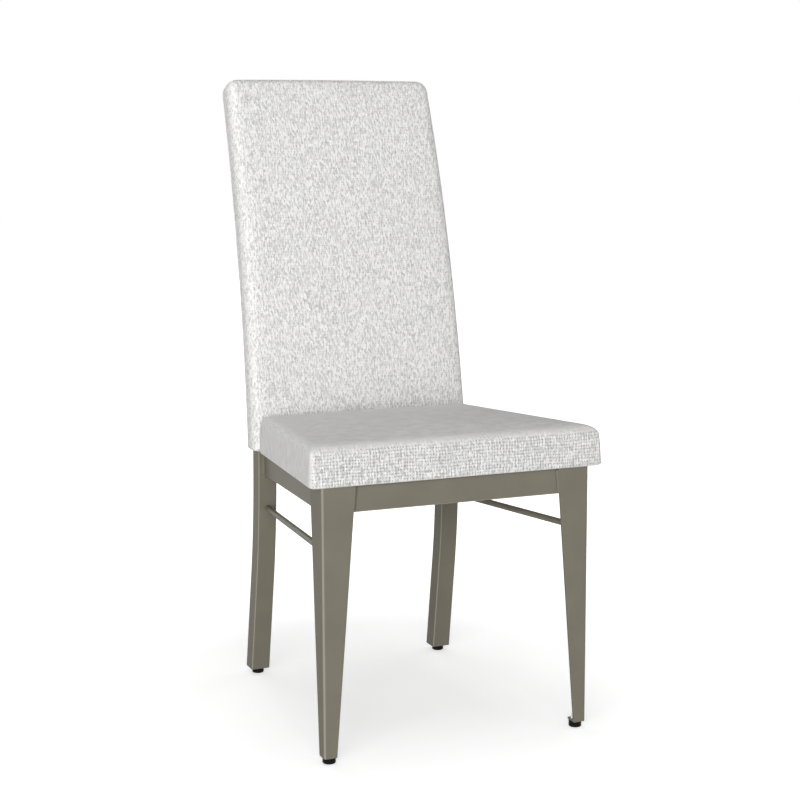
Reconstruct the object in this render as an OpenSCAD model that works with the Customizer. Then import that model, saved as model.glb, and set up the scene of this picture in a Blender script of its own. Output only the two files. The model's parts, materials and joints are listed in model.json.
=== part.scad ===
// High-back upholstered dining chair on a welded, painted steel frame.
// The chair stands on z = 0 and faces -Y; left is -X, as seen from the front.
// Lengths are in millimetres and angles in degrees.

/* [Seat frame] */
// Height of the frame's top edge at the front legs
seat_z = 415.2; // [400:0.1:440]
// Fall of the seat frame towards the back
seat_fall = 2.8; // [0:0.1:4]
// Width over the front legs
front_w = 434; // [410:1:460]
// Width over the rear posts at seat height
rear_w = 364; // [345:1:385]
// Depth from the front of the front legs to the front of the rear posts
frame_d = 399; // [370:1:430]
// Height of the seat rails
rail_h = 40; // [30:1:50]
// Thickness of the seat rails
rail_t = 20; // [16:1:22]
// Wall of the seat rails
rail_wall = 2; // [1.5:0.5:3]
// Outside corner radius of the seat rails
rail_r = 2.5; // [1:0.5:4]
// Distance from a post's outer face in to the side rail's outer face
rail_inset = 9.3; // [4:0.1:11]
// Width of the weld beads at the rear posts
bead_w = 4.5; // [3:0.5:6]

/* [Front legs] */
// Thickness of the folded leg plate
plate_t = 3.5; // [2.5:0.5:3.5]
// Outside radius of the fold
fold_r = 4.5; // [4:0.5:8]
// Width of the front face at the top
leg_face_top = 52.5; // [44:0.5:60]
// Width of the front face at the foot
leg_face_foot = 20.5; // [19:0.5:28]
// Width of the side face at the top
leg_side_top = 49; // [40:1:60]
// Width of the side face at the foot
leg_side_foot = 20.5; // [19:0.5:28]
// Forward slant of the front legs
leg_rake = 0.5; // [0:0.1:2]
// Height of all four leg ends above the floor
foot_z = 10; // [8:0.5:14]

/* [Rear posts] */
// Width of the post tube, side to side
post_w = 32; // [28:1:34]
// Depth of the post tube, front to back
post_d = 31; // [26:1:32]
// Wall of the post tube
post_wall = 2; // [1.5:0.5:3]
// Outside corner radius of the post tube
post_r = 2.5; // [1.5:0.5:5]
// Backward slant of the lower leg
post_rake = 9.6; // [4:0.2:12]
// Bend radius between the lower leg and the upright
post_bend_r = 1060; // [700:5:1200]
// Height at which that bend has come upright
post_upright_z = 350; // [310:1:360]
// Outward slant of each rear leg
post_splay = 0.48; // [0:0.02:1]
// Length of back above the top end of the posts
post_short = 45; // [30:1:90]

/* [Side stretchers] */
// Diameter of the stretcher rods
rod_d = 10; // [8:0.5:12]
// Drop from the frame's top edge to the rod's centre
rod_drop = 96; // [70:0.5:140]
// Room between the rod and the leg's side plate
rod_gap = 0.1; // [0.1:0.1:3]

/* [Glides] */
// Diameter of the glide pad
pad_d = 20; // [16:0.5:24]
// Rounding of the pad's lower edge
pad_edge = 2; // [1:0.5:3]
// Diameter of the threaded stem
stem_d = 8; // [6:0.5:8]
// Length of the stem above the pad
stem_h = 24; // [20:1:30]
// Thickness of the foot plates
foot_plate_t = 3; // [2:0.5:4]
// Width of the weld nuts across their flats
nut_af = 13; // [12:0.5:14]
// Height of the weld nuts
nut_h = 6.5; // [4:0.5:8]

/* [Seat pad] */
// How far the pad stands out past each front leg's side
pad_front_side = 19.5; // [14:0.5:24]
// How far the pad stands out past each rear post's side
pad_rear_side = 4.5; // [2:0.5:8]
// How far the pad stands out past the front legs
pad_over = 10; // [0:0.5:14]
// Room between the pad and the back
pad_back_gap = 0.6; // [0.4:0.1:4]
// Height of the pad's sides up to the soft top edge
pad_side_h = 47; // [28:1:60]
// Height of the soft top edge
pad_edge_h = 15; // [12:1:26]
// Width of the soft top edge at the sides and the rear
pad_edge_w = 20; // [16:1:34]
// Depth of the soft top edge at the front
pad_front_roll = 26; // [20:1:44]
// Rise of the crown above the top edge
pad_crown = 12; // [4:1:20]
// Corner radius seen from above
pad_corner_r = 6; // [6:1:30]
// How far the sides lean in from the bottom to the soft top edge
pad_lean_in = 2; // [0:0.5:5]
// Thickness of the plywood seat board
board_t = 12; // [9:1:15]
// Thickness of the fabric cover
cover_t = 1.5; // [1:0.5:2.5]
// Turn-under of the fabric below the board
cover_return = 28; // [20:1:40]
// Thickness of the dust cover
dust_t = 0.6; // [0.4:0.1:1]

/* [Back] */
// Height of the back's lower edge above the floor
back_bottom_z = 398.5; // [398:0.5:420]
// Height of the back's top edge before it is rounded
back_top_z = 1011.5; // [900:0.5:1060]
// Upholstery outwards of each post
back_side_pad = 11.5; // [9:0.5:14]
// Width of the back at its top edge
back_top_w = 367.5; // [350:0.5:387]
// Thickness of the back
back_t = 54; // [52:1:60]
// Upholstery in front of the posts
back_front_pad = 17.5; // [14:0.5:20]
// Lean of the back at its lower edge
back_lean = 6.7; // [4:0.1:7]
// Radius of the curve of the back's front face
back_bend_r = 2400; // [2000:10:3000]
// Rounding of the back's long edges
back_edge_r = 21; // [14:1:24]
// Rounding of the back's lower edge
back_low_r = 5; // [3:0.5:10]
// Swell of the front face
back_crown = 3; // [0:0.5:6]
// Drop of the back's top corners below its middle
back_top_drop = 1.2; // [0:0.1:6]
// Thickness of the board behind the foam
back_board_t = 4; // [3:0.5:6]
// Distance from a post's outer face in to the board's edge
back_board_edge = 5; // [3:0.5:8]
// Height of the cross rails between the posts
cross_h = 25; // [20:1:30]
// Depth of the cross rails between the posts
cross_t = 20; // [15:1:24]

/* [Fasteners] */
// Diameter of the seat bolts
bolt_d = 6; // [5:0.5:6]
// Diameter of the bolt head
bolt_head_d = 12; // [10:0.5:13]
// Height of the bolt head
bolt_head_h = 4; // [3:0.5:5]
// Diameter of the washer
washer_d = 16; // [14:0.5:18]
// Thickness of the washer
washer_t = 1.5; // [1:0.5:2]
// Thickness of the seat tabs
tab_t = 3; // [2:0.5:4]
// Length of the seat tabs along the side rail
tab_l = 42; // [36:1:50]
// Width of the seat tabs
tab_w = 40; // [34:1:50]
// Diameter of the screws in the back board
screw_d = 4; // [3.5:0.5:5]

/* [Hidden] */

frame_colour = "#7d7a6e";
fabric_colour = "#e4e3e0";
foam_colour = "#efe6c8";
wood_colour = "#c9a877";
zinc_colour = "#b9bcc0";
black_colour = "#1c1c1d";

// Clearances: threads and pins, between bodies, and round soft parts
thread_gap = 0.3;
body_gap = 0.4;
soft_gap = 0.3;
// Wider clearances: bolts in the tabs, and legs in the back cover's holes
bolt_gap = 0.5;
leg_gap = 1;
// Room for paint: front rail to leg plate, and board to posts
rail_gap = 0.05;
board_gap = 0.1;

// Smoothness of true circles, and of the large bends
round_fn = 48;
bend_fn = 360;
// Size of the blocks that trim pieces to a plane, and how far a piece runs past its trim
reach = 1500;
sink = 6;
over_a = 1;
// Points along the corners, the straight runs and the height of the soft shapes
skin_corner = 4;
skin_run = 6;
skin_rows = 14;
core_corner = 3;
core_run = 4;
core_rows = 12;
board_corner = 6;

// Seat frame: half widths at the front and at the posts
front_x = front_w / 2;
rear_x = rear_w / 2;
rail_front_x = front_x - plate_t;
rail_rear_x = rear_x - rail_inset;
rail_turn = atan((rail_front_x - rail_rear_x) / frame_d);
front_rail_y = plate_t + rail_h * sin(seat_fall) + rail_gap;
rear_rail_y = frame_d + (post_d - rail_t) / 2;
rail_level_z = seat_z - rail_h / 2 - frame_d * tan(seat_fall);

// Rear posts: centre line in side view
post_y = frame_d + post_d / 2;
post_x = rear_x - post_w / 2;
bend_end_y = post_y + post_bend_r * (1 - cos(post_rake));
bend_end_z = post_upright_z - post_bend_r * sin(post_rake);
post_foot_y = bend_end_y + (bend_end_z - foot_z) * tan(post_rake);
post_foot_x = post_x + (rail_level_z - foot_z) * tan(post_splay);

// The curved back posts stand this much nearer the front than the legs below them, so that
// the weld between the two lies inside the back
post_advance = 0.8;
// Post ends below the lowest and above the highest cross rail
cross_low_gap = 8;
cross_top_gap = 4;
// Weld beads on the front legs are this much narrower than the leg's plate
bead_set_in = 0.5;

// Back: its sides, which the back posts follow, and the centre of its curve
back_bottom_w = rear_w + 2 * back_side_pad;
back_taper = atan((back_bottom_w - back_top_w) / 2 / (back_top_z - back_bottom_z));
back_cz = back_bottom_z - back_bend_r * sin(back_lean);
back_cy = frame_d - back_front_pad + back_bend_r * cos(back_lean);
back_top_a = asin((back_top_z - back_cz) / back_bend_r);
post_arc_r = back_bend_r - back_front_pad + post_advance - post_d / 2;
join_a = acos((back_cy - post_y) / post_arc_r);
join_z = back_cz + post_arc_r * sin(join_a);
post_top_a = back_top_a - post_short / post_arc_r * 180 / PI;
cross_low_a = join_a + (cross_h / 2 + cross_low_gap) / post_arc_r * 180 / PI;
cross_top_a = post_top_a - (cross_h / 2 + cross_top_gap) / post_arc_r * 180 / PI;
cross_mid_a = (cross_low_a + cross_top_a) / 2;
board_low_a = cross_low_a - cross_h / 2 / post_arc_r * 180 / PI;
board_top_a = cross_top_a + cross_h / 2 / post_arc_r * 180 / PI;
board_r = post_arc_r + post_d / 2 + board_gap;
screw_l = back_board_t + post_wall + screw_d;

// Slant of the free edges of the leg's plates
leg_h = seat_z - foot_z;
face_slope = (leg_face_top - leg_face_foot) / leg_h;
side_slope = (leg_side_top - leg_side_foot) / leg_h;

// Front feet: the leg's plates meet the foot plate here
leg_toe_y = -leg_h * tan(leg_rake);
front_foot_x = front_x - (plate_t + leg_face_foot) / 2;
front_foot_y = leg_toe_y + (plate_t + leg_side_foot) / 2;

// Seat pad: its widths, and its layers counted up from the frame's top edge
pad_front_w = front_w + 2 * pad_front_side;
pad_rear_w = rear_w + 2 * pad_rear_side;
return_z = dust_t;
board_z = dust_t + cover_t;
foam_z = board_z + board_t;
pad_rear_y = frame_d - back_front_pad - pad_back_gap;
pad_low_r = 1.5;
crown_steps = [0.82, 0.6, 0.36, 0.12];
board_inset = pad_low_r + cover_t + soft_gap;
dust_inset = 8;
tab_front_y = front_rail_y + rail_t;
tab_rear_y = pad_rear_y - board_inset - dust_inset;
tee_flange_d = 19;
tee_flange_t = 1.2;
tee_wall = 1;
tee_barrel_d = bolt_d + 2 * tee_wall;
bolt_short = 1;

// The whole chair is moved so that the middle of its box lies over the origin
pad_front_point = min([for (ring = seat_rings(0, skin_corner, skin_run), p = ring)
    p.y * cos(seat_fall) + p.z * sin(seat_fall)]);
back_rear_point = max([for (ring = back_rings(0, skin_corner, core_run, skin_rows), p = ring)
    p.y]);
origin_y = -(pad_front_point + back_rear_point) / 2;

// Points of an arc about c, from angle a0 to angle a1
function arc(c, r, a0, a1, steps) =
    [for (i = [0:steps]) let (a = a0 + (a1 - a0) * i / steps) c + r * [cos(a), sin(a)]];

// Points strictly between p and q
function between(p, q, steps) = [for (i = [1:steps - 1]) p + (q - p) * i / steps];

// Outline of the seat pad, drawn in by d all round and by f more at the front
function seat_outline(d, corner, run, f = 0) =
    let (
        hr = pad_rear_w / 2,
        yf = f - pad_over,
        yr = pad_rear_y,
        tilt = atan((pad_front_w / 2 - hr) / (yr + pad_over)),
        hf = pad_front_w / 2 - f * tan(tilt),
        r = pad_corner_r,
        xf = hf - (d + r) * (1 + sin(tilt)) / cos(tilt),
        xr = hr - (d + r) * (1 - sin(tilt)) / cos(tilt),
        front_right = arc([xf, yf + d + r], r, -90, tilt, corner),
        rear_right = arc([xr, yr - d - r], r, tilt, 90, corner),
        rear_left = arc([-xr, yr - d - r], r, 90, 180 - tilt, corner),
        front_left = arc([-xf, yf + d + r], r, 180 - tilt, 270, corner)
    )
    concat(
        front_right, between(front_right[corner], rear_right[0], run),
        rear_right, between(rear_right[corner], rear_left[0], run),
        rear_left, between(rear_left[corner], front_left[0], run),
        front_left, between(front_left[corner], front_right[0], run)
    );

// Rings of the seat pad from the bottom up, lying e inside its outer surface
function seat_rings(e, corner, run) =
    let (
        low_z = return_z + e,
        top_w = pad_edge_w - e,
        roll = pad_front_roll - pad_edge_w,
        top_h = pad_edge_h - e,
        low = [for (t = [0:45:90])
            [pad_low_r * (1 - sin(t)), low_z + pad_low_r * (1 - cos(t)), 0]
        ],
        edge = [for (t = [0:18:90])
            [pad_lean_in + top_w * (1 - cos(t)), pad_side_h + top_h * sin(t), roll * (1 - cos(t))]
        ],
        profile = concat(low, edge),
        rim_d = e + pad_lean_in + top_w,
        rim = seat_outline(rim_d, corner, run, roll),
        mid_y = (pad_rear_y - pad_over + roll) / 2,
        half_y = (pad_rear_y + pad_over - roll) / 2 - rim_d,
        half_x = (pad_front_w + pad_rear_w) / 4 - rim_d,
        taper = (pad_front_w - pad_rear_w) / 4 / half_y
    )
    concat(
        [for (q = profile)
            [for (p = seat_outline(e + q[0], corner, run, q[2])) [p.x, p.y, q[1]]]
        ],
        [for (s = crown_steps) [for (p = rim)
            let (
                x = p.x * s,
                dy = (p.y - mid_y) * s,
                across = 1 - min(pow(x / (half_x - taper * dy), 2), 1),
                along = 1 - min(pow(dy / half_y, 2), 1)
            )
            [x, mid_y + dy, pad_side_h + top_h + pad_crown * across * along]
        ]]
    );

// A point of the back: x across, n deep, at the angle a of the front face's curve
function back_point(x, n, a) =
    let (
        way = (a - back_lean) / (back_top_a - back_lean),
        b = a - way * pow(2 * x / back_top_w, 2) * back_top_drop / back_bend_r * 180 / PI
    )
    [
        x,
        back_cy - back_bend_r * cos(b) + n * cos(a * way),
        back_cz + back_bend_r * sin(b) - n * sin(a * way)
    ];

// Half the width of the back at the angle a
function back_half_w(a) =
    (back_bottom_w + (back_top_w - back_bottom_w) * (a - back_lean) / (back_top_a - back_lean)) / 2;

// One level of the back, a bar with rounded edges that lies d inside the front and rear faces
function back_ring(hw, d, r, a, corner, run) =
    let (
        front_right = arc([hw - r, d + r], r, -90, 0, corner),
        rear_right = arc([hw - r, back_t - d - r], r, 0, 90, corner),
        rear_left = arc([r - hw, back_t - d - r], r, 90, 180, corner),
        front_left = arc([r - hw, d + r], r, 180, 270, corner),
        lift = back_crown * sin(180 * (a - back_lean) / (back_top_a - back_lean)),
        front = between(front_left[corner], front_right[0], 2 * run)
    )
    concat(
        [for (p = concat(
            front_right, rear_right, between(rear_right[corner], rear_left[0], run),
            rear_left, front_left
        )) back_point(p.x, p.y, a)],
        [for (p = front) back_point(p.x, p.y - lift * (1 - pow(p.x / hw, 2)), a)]
    );

// Levels of the back from the bottom up, lying e inside its outer surface
function back_rings(e, corner, run, rows) =
    let (
        deg = 180 / PI / back_bend_r,
        top_r = back_edge_r - e,
        a0 = back_lean + (e + back_low_r) * deg,
        a1 = back_top_a - (e + top_r) * deg,
        low = [for (t = [0, 45]) [back_low_r * (1 - sin(t)), a0 - back_low_r * cos(t) * deg]],
        body = [for (i = [0:rows]) [0, a0 + (a1 - a0) * i / rows]],
        high = [for (i = [1:corner])
            [top_r * (1 - cos(90 * i / corner)), a1 + top_r * sin(90 * i / corner) * deg]
        ]
    )
    [for (q = concat(low, body, high))
        back_ring(back_half_w(q[1]) - e - q[0], e + q[0], max(top_r - q[0], 2), q[1], corner, run)];

// Skin over a stack of rings of equal length, closed by a fan of faces at each end
module loft(rings) {
    n = len(rings[0]);
    m = len(rings);
    mean = [for (i = [1:n]) 1 / n];
    ends = [mean * rings[0], mean * rings[m - 1]];
    sides = [for (k = [0:m - 2], i = [0:n - 1])
        let (j = (i + 1) % n)
        each [
            [k * n + i, (k + 1) * n + i, (k + 1) * n + j],
            [k * n + i, (k + 1) * n + j, k * n + j]
        ]];
    low_fan = [for (i = [0:n - 1]) [n * m, i, (i + 1) % n]];
    high_fan = [for (i = [0:n - 1]) [n * m + 1, (m - 1) * n + (i + 1) % n, (m - 1) * n + i]];
    polyhedron(
        points = concat([for (ring = rings, p = ring) p], ends),
        faces = concat(sides, low_fan, high_fan)
    );
}

// Moves the chair so that the middle of its box stands over the origin
module placed() {
    translate([0, origin_y, 0])
        children();
}

// A right-hand piece, or its mirror image where side is -1
module on_side(side) {
    mirror([side < 0 ? 1 : 0, 0, 0])
        children();
}

// Axes of the sloping seat frame: z = 0 is its top edge
module on_seat() {
    translate([0, 0, seat_z])
        rotate([-seat_fall, 0, 0])
            children();
}

// Axes of the right-hand side rail: x = 0 is its outer face and y runs to the rear
module on_side_rail() {
    on_seat()
        translate([rail_front_x, 0, 0])
            rotate([0, 0, rail_turn])
                children();
}

// Axes of the right-hand front leg: its outer top corner, with z down the slanting fold
module on_front_leg() {
    translate([front_x, 0, seat_z])
        rotate([-leg_rake, 0, 0])
            children();
}

// Axes of the right-hand post, which slants outwards to the floor
module on_post() {
    translate([post_x, 0, rail_level_z])
        rotate([0, -post_splay, 0])
            translate([0, 0, -rail_level_z])
                children();
}

// Axes of the right-hand back post, which follows the back's side from the leg's top end
module on_back_post() {
    on_post()
        translate([0, 0, join_z])
            rotate([0, post_splay - back_taper, 0])
                translate([0, 0, -join_z])
                    children();
}

// Axes of a bend about a cross axis: x points out to the front and y along the bend
module on_bend(cy, cz, a) {
    translate([0, cy, cz])
        rotate([90, 0, -90])
            rotate([0, 0, a])
                children();
}

// Each place where a glide stands
module at_foot(front, side) {
    x = front ? front_foot_x : post_foot_x;
    y = front ? front_foot_y : post_foot_y;
    translate([side * x, y, 0])
        children();
}

// Both bolts of one side, on the seat frame's top edge
module at_bolts() {
    for (y = [tab_front_y + tab_l / 2, tab_rear_y - tab_l / 2])
        on_side_rail()
            translate([-rail_t - tab_w / 2, y, 0])
                children();
}

// The screws of one side, with z = 0 on the board's front face
module at_screws() {
    on_back_post()
        for (a = [cross_low_a, cross_mid_a, cross_top_a])
            on_bend(back_cy, back_cz, a)
                translate([board_r + back_board_t, 0, 0])
                    rotate([0, 90, 0])
                        children();
}

module rounded_rect(w, h, r) {
    square([w - 2 * r, h], center = true);
    square([w, h - 2 * r], center = true);
    for (x = [-1, 1], y = [-1, 1])
        translate([x * (w / 2 - r), y * (h / 2 - r)])
            circle(r = r, $fn = round_fn);
}

module tube_section(w, h, r, wall) {
    difference() {
        rounded_rect(w, h, r);
        rounded_rect(w - 2 * wall, h - 2 * wall, max(r - wall, wall / 4));
    }
}

// The tube's bend, from its straight leg up past the height where it has come upright
module leg_bend() {
    on_bend(post_y + post_bend_r, post_upright_z, -post_rake)
        rotate_extrude(angle = post_rake + over_a, $fn = bend_fn)
            translate([post_bend_r, 0])
                children();
}

// Sweeps a section along the right-hand rear leg, from below the floor up to the back post
module along_leg() {
    drop = bend_end_z / cos(post_rake) + sink;
    on_post() {
        on_bend(post_y + post_bend_r, post_upright_z, -post_rake)
            translate([post_bend_r, -drop, 0])
                rotate([-90, 0, 0])
                    linear_extrude(drop)
                        children();
        difference() {
            leg_bend()
                children();
            translate([-reach / 2, -reach / 2, post_upright_z])
                cube(reach);
        }
        translate([0, post_y, post_upright_z])
            rotate([0, 0, 90])
                linear_extrude(join_z - post_upright_z)
                    children();
    }
}

// Sweeps a section along the right-hand back post, up to the angle top_a
module along_back_post(top_a) {
    difference() {
        on_back_post()
            on_bend(back_cy, back_cz, join_a - over_a)
                rotate_extrude(angle = top_a - join_a + over_a, $fn = bend_fn)
                    translate([post_arc_r, 0])
                        children();
        on_post()
            translate([-reach / 2, -reach / 2, join_z - reach])
                cube(reach);
    }
}

// Everything outwards of the plane x = at, in the axes of a rear leg or a back post
module outwards_of(at) {
    translate([at, -reach, -reach])
        cube(2 * reach);
}

// Bar that follows the back's curve, out to the board's edges grown by g
module across_back_posts(r0, r1, a0, a1, g) {
    difference() {
        on_bend(back_cy, back_cz, a0)
            rotate_extrude(angle = a1 - a0, $fn = bend_fn)
                translate([r0, -rear_x])
                    square([r1 - r0, 2 * rear_x]);
        for (side = [-1, 1])
            on_side(side)
                on_back_post()
                    outwards_of(post_w / 2 - back_board_edge + g);
    }
}

module below_feet() {
    translate([-reach / 2, -reach / 2, foot_z - reach])
        cube([reach, 2 * reach, reach]);
}

module above_seat_frame() {
    on_seat()
        translate([-reach / 2, -reach / 2, 0])
            cube(reach);
}

// The folded plate of the right-hand front leg, tapering on both free edges
module front_leg_shape() {
    inner_r = fold_r - plate_t;
    low = -leg_h - sink;
    difference() {
        on_front_leg()
            difference() {
                translate([0, 0, low])
                    linear_extrude(sink - low)
                        difference() {
                            union() {
                                translate([-leg_face_top, 0])
                                    square([leg_face_top - fold_r, plate_t]);
                                translate([-plate_t, fold_r])
                                    square([plate_t, leg_side_top - fold_r]);
                                intersection() {
                                    translate([-fold_r, fold_r])
                                        circle(r = fold_r, $fn = round_fn);
                                    translate([-fold_r, 0])
                                        square(fold_r);
                                }
                            }
                            translate([-fold_r, fold_r])
                                circle(r = inner_r, $fn = round_fn);
                        }
                translate([0, leg_side_top, 0])
                    rotate([90, 0, 0])
                        linear_extrude(leg_side_top + sink)
                            polygon([
                                [-leg_face_top - sink * face_slope, sink],
                                [-leg_face_top + (leg_h + sink) * face_slope, low],
                                [-leg_face_top - sink, low],
                                [-leg_face_top - sink, sink]
                            ]);
                translate([-leg_face_top, 0, 0])
                    rotate([90, 0, 90])
                        linear_extrude(leg_face_top + sink)
                            polygon([
                                [leg_side_top + sink * side_slope, sink],
                                [leg_side_top - (leg_h + sink) * side_slope, low],
                                [leg_side_top + sink, low],
                                [leg_side_top + sink, sink]
                            ]);
            }
        above_seat_frame();
        below_feet();
    }
}

module front_leg(side) {
    color(frame_colour)
        on_side(side)
            front_leg_shape();
}

// Bent tube that the seat frame is welded to
module rear_leg(side) {
    color(frame_colour)
        on_side(side)
            difference() {
                along_leg()
                    tube_section(post_d, post_w, post_r, post_wall);
                below_feet();
            }
}

// Curved tube inside the back, welded on top of the rear leg
module back_post(side) {
    color(frame_colour)
        on_side(side)
            difference() {
                along_back_post(post_top_a)
                    tube_section(post_d, post_w, post_r, post_wall);
                at_screws()
                    translate([0, 0, -screw_l])
                        cylinder(d = screw_d + 2 * thread_gap, h = screw_l, $fn = round_fn);
            }
}

module stem_hole() {
    cylinder(d = stem_d + 2 * thread_gap, h = leg_h, $fn = round_fn);
}

// Plate that closes the front leg's open corner at the foot
module front_foot_plate(side) {
    color(frame_colour)
        difference() {
            on_side(side)
                difference() {
                    translate([front_x - leg_face_foot, leg_toe_y + plate_t / 2, foot_z])
                        cube([leg_face_foot - plate_t / 2, leg_side_foot - plate_t / 2, foot_plate_t]);
                    front_leg_shape();
                }
            at_foot(true, side)
                stem_hole();
        }
}

// Plate that closes the mouth of the post tube
module rear_foot_plate(side) {
    color(frame_colour)
        difference() {
            on_side(side)
                intersection() {
                    along_leg()
                        rounded_rect(post_d - 2 * post_wall, post_w - 2 * post_wall, post_r - post_wall);
                    translate([0, 0, foot_z])
                        cube([reach, reach, foot_plate_t]);
                }
            at_foot(false, side)
                stem_hole();
        }
}

module foot_weld_nuts() {
    color(zinc_colour)
        for (front = [true, false], side = [-1, 1])
            at_foot(front, side)
                difference() {
                    translate([0, 0, foot_z + foot_plate_t])
                        cylinder(d = nut_af / cos(30), h = nut_h, $fn = 6);
                    stem_hole();
                }
}

// Solid outside shape of a cross tube, or the tube itself
module front_rail_bar() {
    on_seat()
        translate([0, front_rail_y + rail_t / 2, -rail_h / 2])
            rotate([0, 90, 0])
                linear_extrude(2 * rail_front_x, center = true)
                    children();
}

module front_rail() {
    color(frame_colour)
        difference() {
            front_rail_bar()
                tube_section(rail_h, rail_t, rail_r, rail_wall);
            for (side = [-1, 1])
                on_side(side)
                    front_leg_shape();
        }
}

module rear_rail() {
    color(frame_colour)
        difference() {
            on_seat()
                translate([0, rear_rail_y + rail_t / 2, -rail_h / 2])
                    rotate([0, 90, 0])
                        linear_extrude(2 * post_x, center = true)
                            tube_section(rail_h, rail_t, rail_r, rail_wall);
            for (side = [-1, 1])
                on_side(side)
                    on_post()
                        outwards_of(-post_w / 2);
        }
}

// Block ahead of the front rail's rear face
module ahead_of_side_rails() {
    on_seat()
        translate([-reach / 2, tab_front_y - reach, -reach / 2])
            cube(reach);
}

// Sweeps a section along the right-hand side rail, from the front rail to the post's front face
module along_side_rail() {
    difference() {
        on_side_rail()
            translate([-rail_t / 2, 0, -rail_h / 2])
                rotate([-90, 0, 0])
                    linear_extrude(frame_d + post_d)
                        children();
        ahead_of_side_rails();
        translate([0, frame_d, 0])
            cube(reach);
    }
}

module side_rail(side) {
    color(frame_colour)
        on_side(side)
            along_side_rail()
                tube_section(rail_t, rail_h, rail_r, rail_wall);
}

// Rod from the front leg's corner to the post's front face
module side_stretcher(side) {
    start_y = plate_t / 2 + rod_drop * (sin(seat_fall) - tan(leg_rake));
    color(frame_colour)
        on_side(side)
            difference() {
                on_side_rail()
                    translate([-rod_d / 2 - rod_gap, start_y, -rod_drop])
                        rotate([-90, 0, 0])
                            cylinder(d = rod_d, h = frame_d + post_d / 4, $fn = round_fn);
                front_leg_shape();
                on_post()
                    leg_bend()
                        rounded_rect(post_d, post_w, post_r);
            }
}

// A bead of weld that fills the corner from angle a to angle b, seen along its axis
module bead(a, b, w, l) {
    rotate([0, 0, a])
        rotate_extrude(angle = b - a, $fn = round_fn)
            square([w, l]);
}

// Beads where the front rail meets the legs and the side rails meet the posts
module frame_welds() {
    edge_w = plate_t - bead_set_in;
    low_z = seat_z - frame_d * tan(seat_fall) - rail_h / cos(seat_fall);
    color(frame_colour)
        for (side = [-1, 1])
            on_side(side) {
                difference() {
                    on_front_leg()
                        translate([-leg_face_top, plate_t, 0])
                            rotate([0, -atan(face_slope), 0])
                                translate([0, 0, edge_w - rail_h])
                                    bead(90, 270, edge_w, rail_h - 2 * edge_w);
                    front_rail_bar()
                        rounded_rect(rail_h, rail_t, rail_r);
                }
                difference() {
                    union() {
                        for (x = [rail_rear_x, rail_rear_x - rail_t / cos(rail_turn)])
                            translate([x, frame_d, low_z + rail_r])
                                bead(180, 360, bead_w, rail_h - 2 * rail_r);
                        translate([rail_rear_x - rail_t + rail_r, frame_d, low_z])
                            rotate([90, 0, 90])
                                bead(90, 270, bead_w, rail_t - 2 * rail_r);
                    }
                    along_side_rail()
                        rounded_rect(rail_t, rail_h, rail_r);
                }
            }
}

// Tab on a side rail's inner face that a seat bolt passes through
module seat_tab(front, side) {
    y0 = front ? tab_front_y : tab_rear_y;
    run = front ? 1 : -1;
    color(frame_colour)
        on_side(side)
            difference() {
                on_side_rail()
                    translate([-rail_t, y0, -tab_t])
                        linear_extrude(tab_t)
                            polygon([
                                [0, -run * (front ? sink : 0)],
                                [0, run * tab_l],
                                [-tab_w / 3, run * tab_l],
                                [-tab_w, run * tab_l * 2 / 3],
                                [-tab_w, -run * (front ? sink : 0)]
                            ]);
                at_bolts()
                    translate([0, 0, -2 * tab_t])
                        cylinder(d = bolt_d + 2 * bolt_gap, h = 3 * tab_t, $fn = round_fn);
                ahead_of_side_rails();
            }
}

// Tube between the posts inside the back, at the angle a of its curve
module cross_rail(a) {
    color(frame_colour)
        difference() {
            on_bend(back_cy, back_cz, a)
                translate([post_arc_r, 0, 0])
                    linear_extrude(2 * post_x, center = true)
                        tube_section(cross_t, cross_h, rail_r, rail_wall);
            for (side = [-1, 1])
                on_side(side)
                    on_back_post()
                        outwards_of(-post_w / 2);
        }
}

// Thin board bent over the fronts of the posts
module back_board() {
    color(wood_colour)
        difference() {
            across_back_posts(board_r, board_r + back_board_t, board_low_a, board_top_a, 0);
            for (side = [-1, 1])
                on_side(side)
                    at_screws()
                        translate([0, 0, -thread_gap]) {
                            screw(thread_gap);
                            cylinder(r = screw_d + thread_gap, h = sink, $fn = round_fn);
                        }
        }
}

// Countersunk screw, grown by g for its hole
module screw(g) {
    head_h = screw_d / 2;
    translate([0, 0, -screw_l])
        cylinder(r = screw_d / 2 + g, h = screw_l - head_h, $fn = round_fn);
    translate([0, 0, -head_h])
        cylinder(r1 = screw_d / 2 + g, r2 = screw_d + g, h = head_h, $fn = round_fn);
}

module back_board_screws() {
    color(zinc_colour)
        for (side = [-1, 1])
            on_side(side)
                at_screws()
                    translate([0, 0, -thread_gap])
                        screw(0);
}

// Section of the post tube, grown by g all round
module post_room(g) {
    rounded_rect(post_d + 2 * g, post_w + 2 * g, post_r + g);
}

// Room for the upper end of the right-hand rear leg, grown by g
module leg_room(g) {
    on_post()
        translate([0, post_y, back_bottom_z - sink])
            rotate([0, 0, 90])
                linear_extrude(join_z + g - back_bottom_z + sink)
                    post_room(g);
}

// Foam block of the back, hollowed for the posts, the cross rails and the board
module back_foam() {
    gap_a = soft_gap / post_arc_r * 180 / PI;
    inner_r = post_arc_r - cross_t / 2 - soft_gap;
    color(foam_colour)
        difference() {
            loft(back_rings(cover_t + soft_gap, core_corner, core_run, core_rows));
            for (side = [-1, 1])
                on_side(side) {
                    along_back_post(post_top_a + gap_a)
                        post_room(soft_gap);
                    leg_room(soft_gap);
                }
            across_back_posts(
                inner_r, board_r + back_board_t + soft_gap,
                board_low_a - gap_a, board_top_a + gap_a, soft_gap
            );
        }
}

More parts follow.
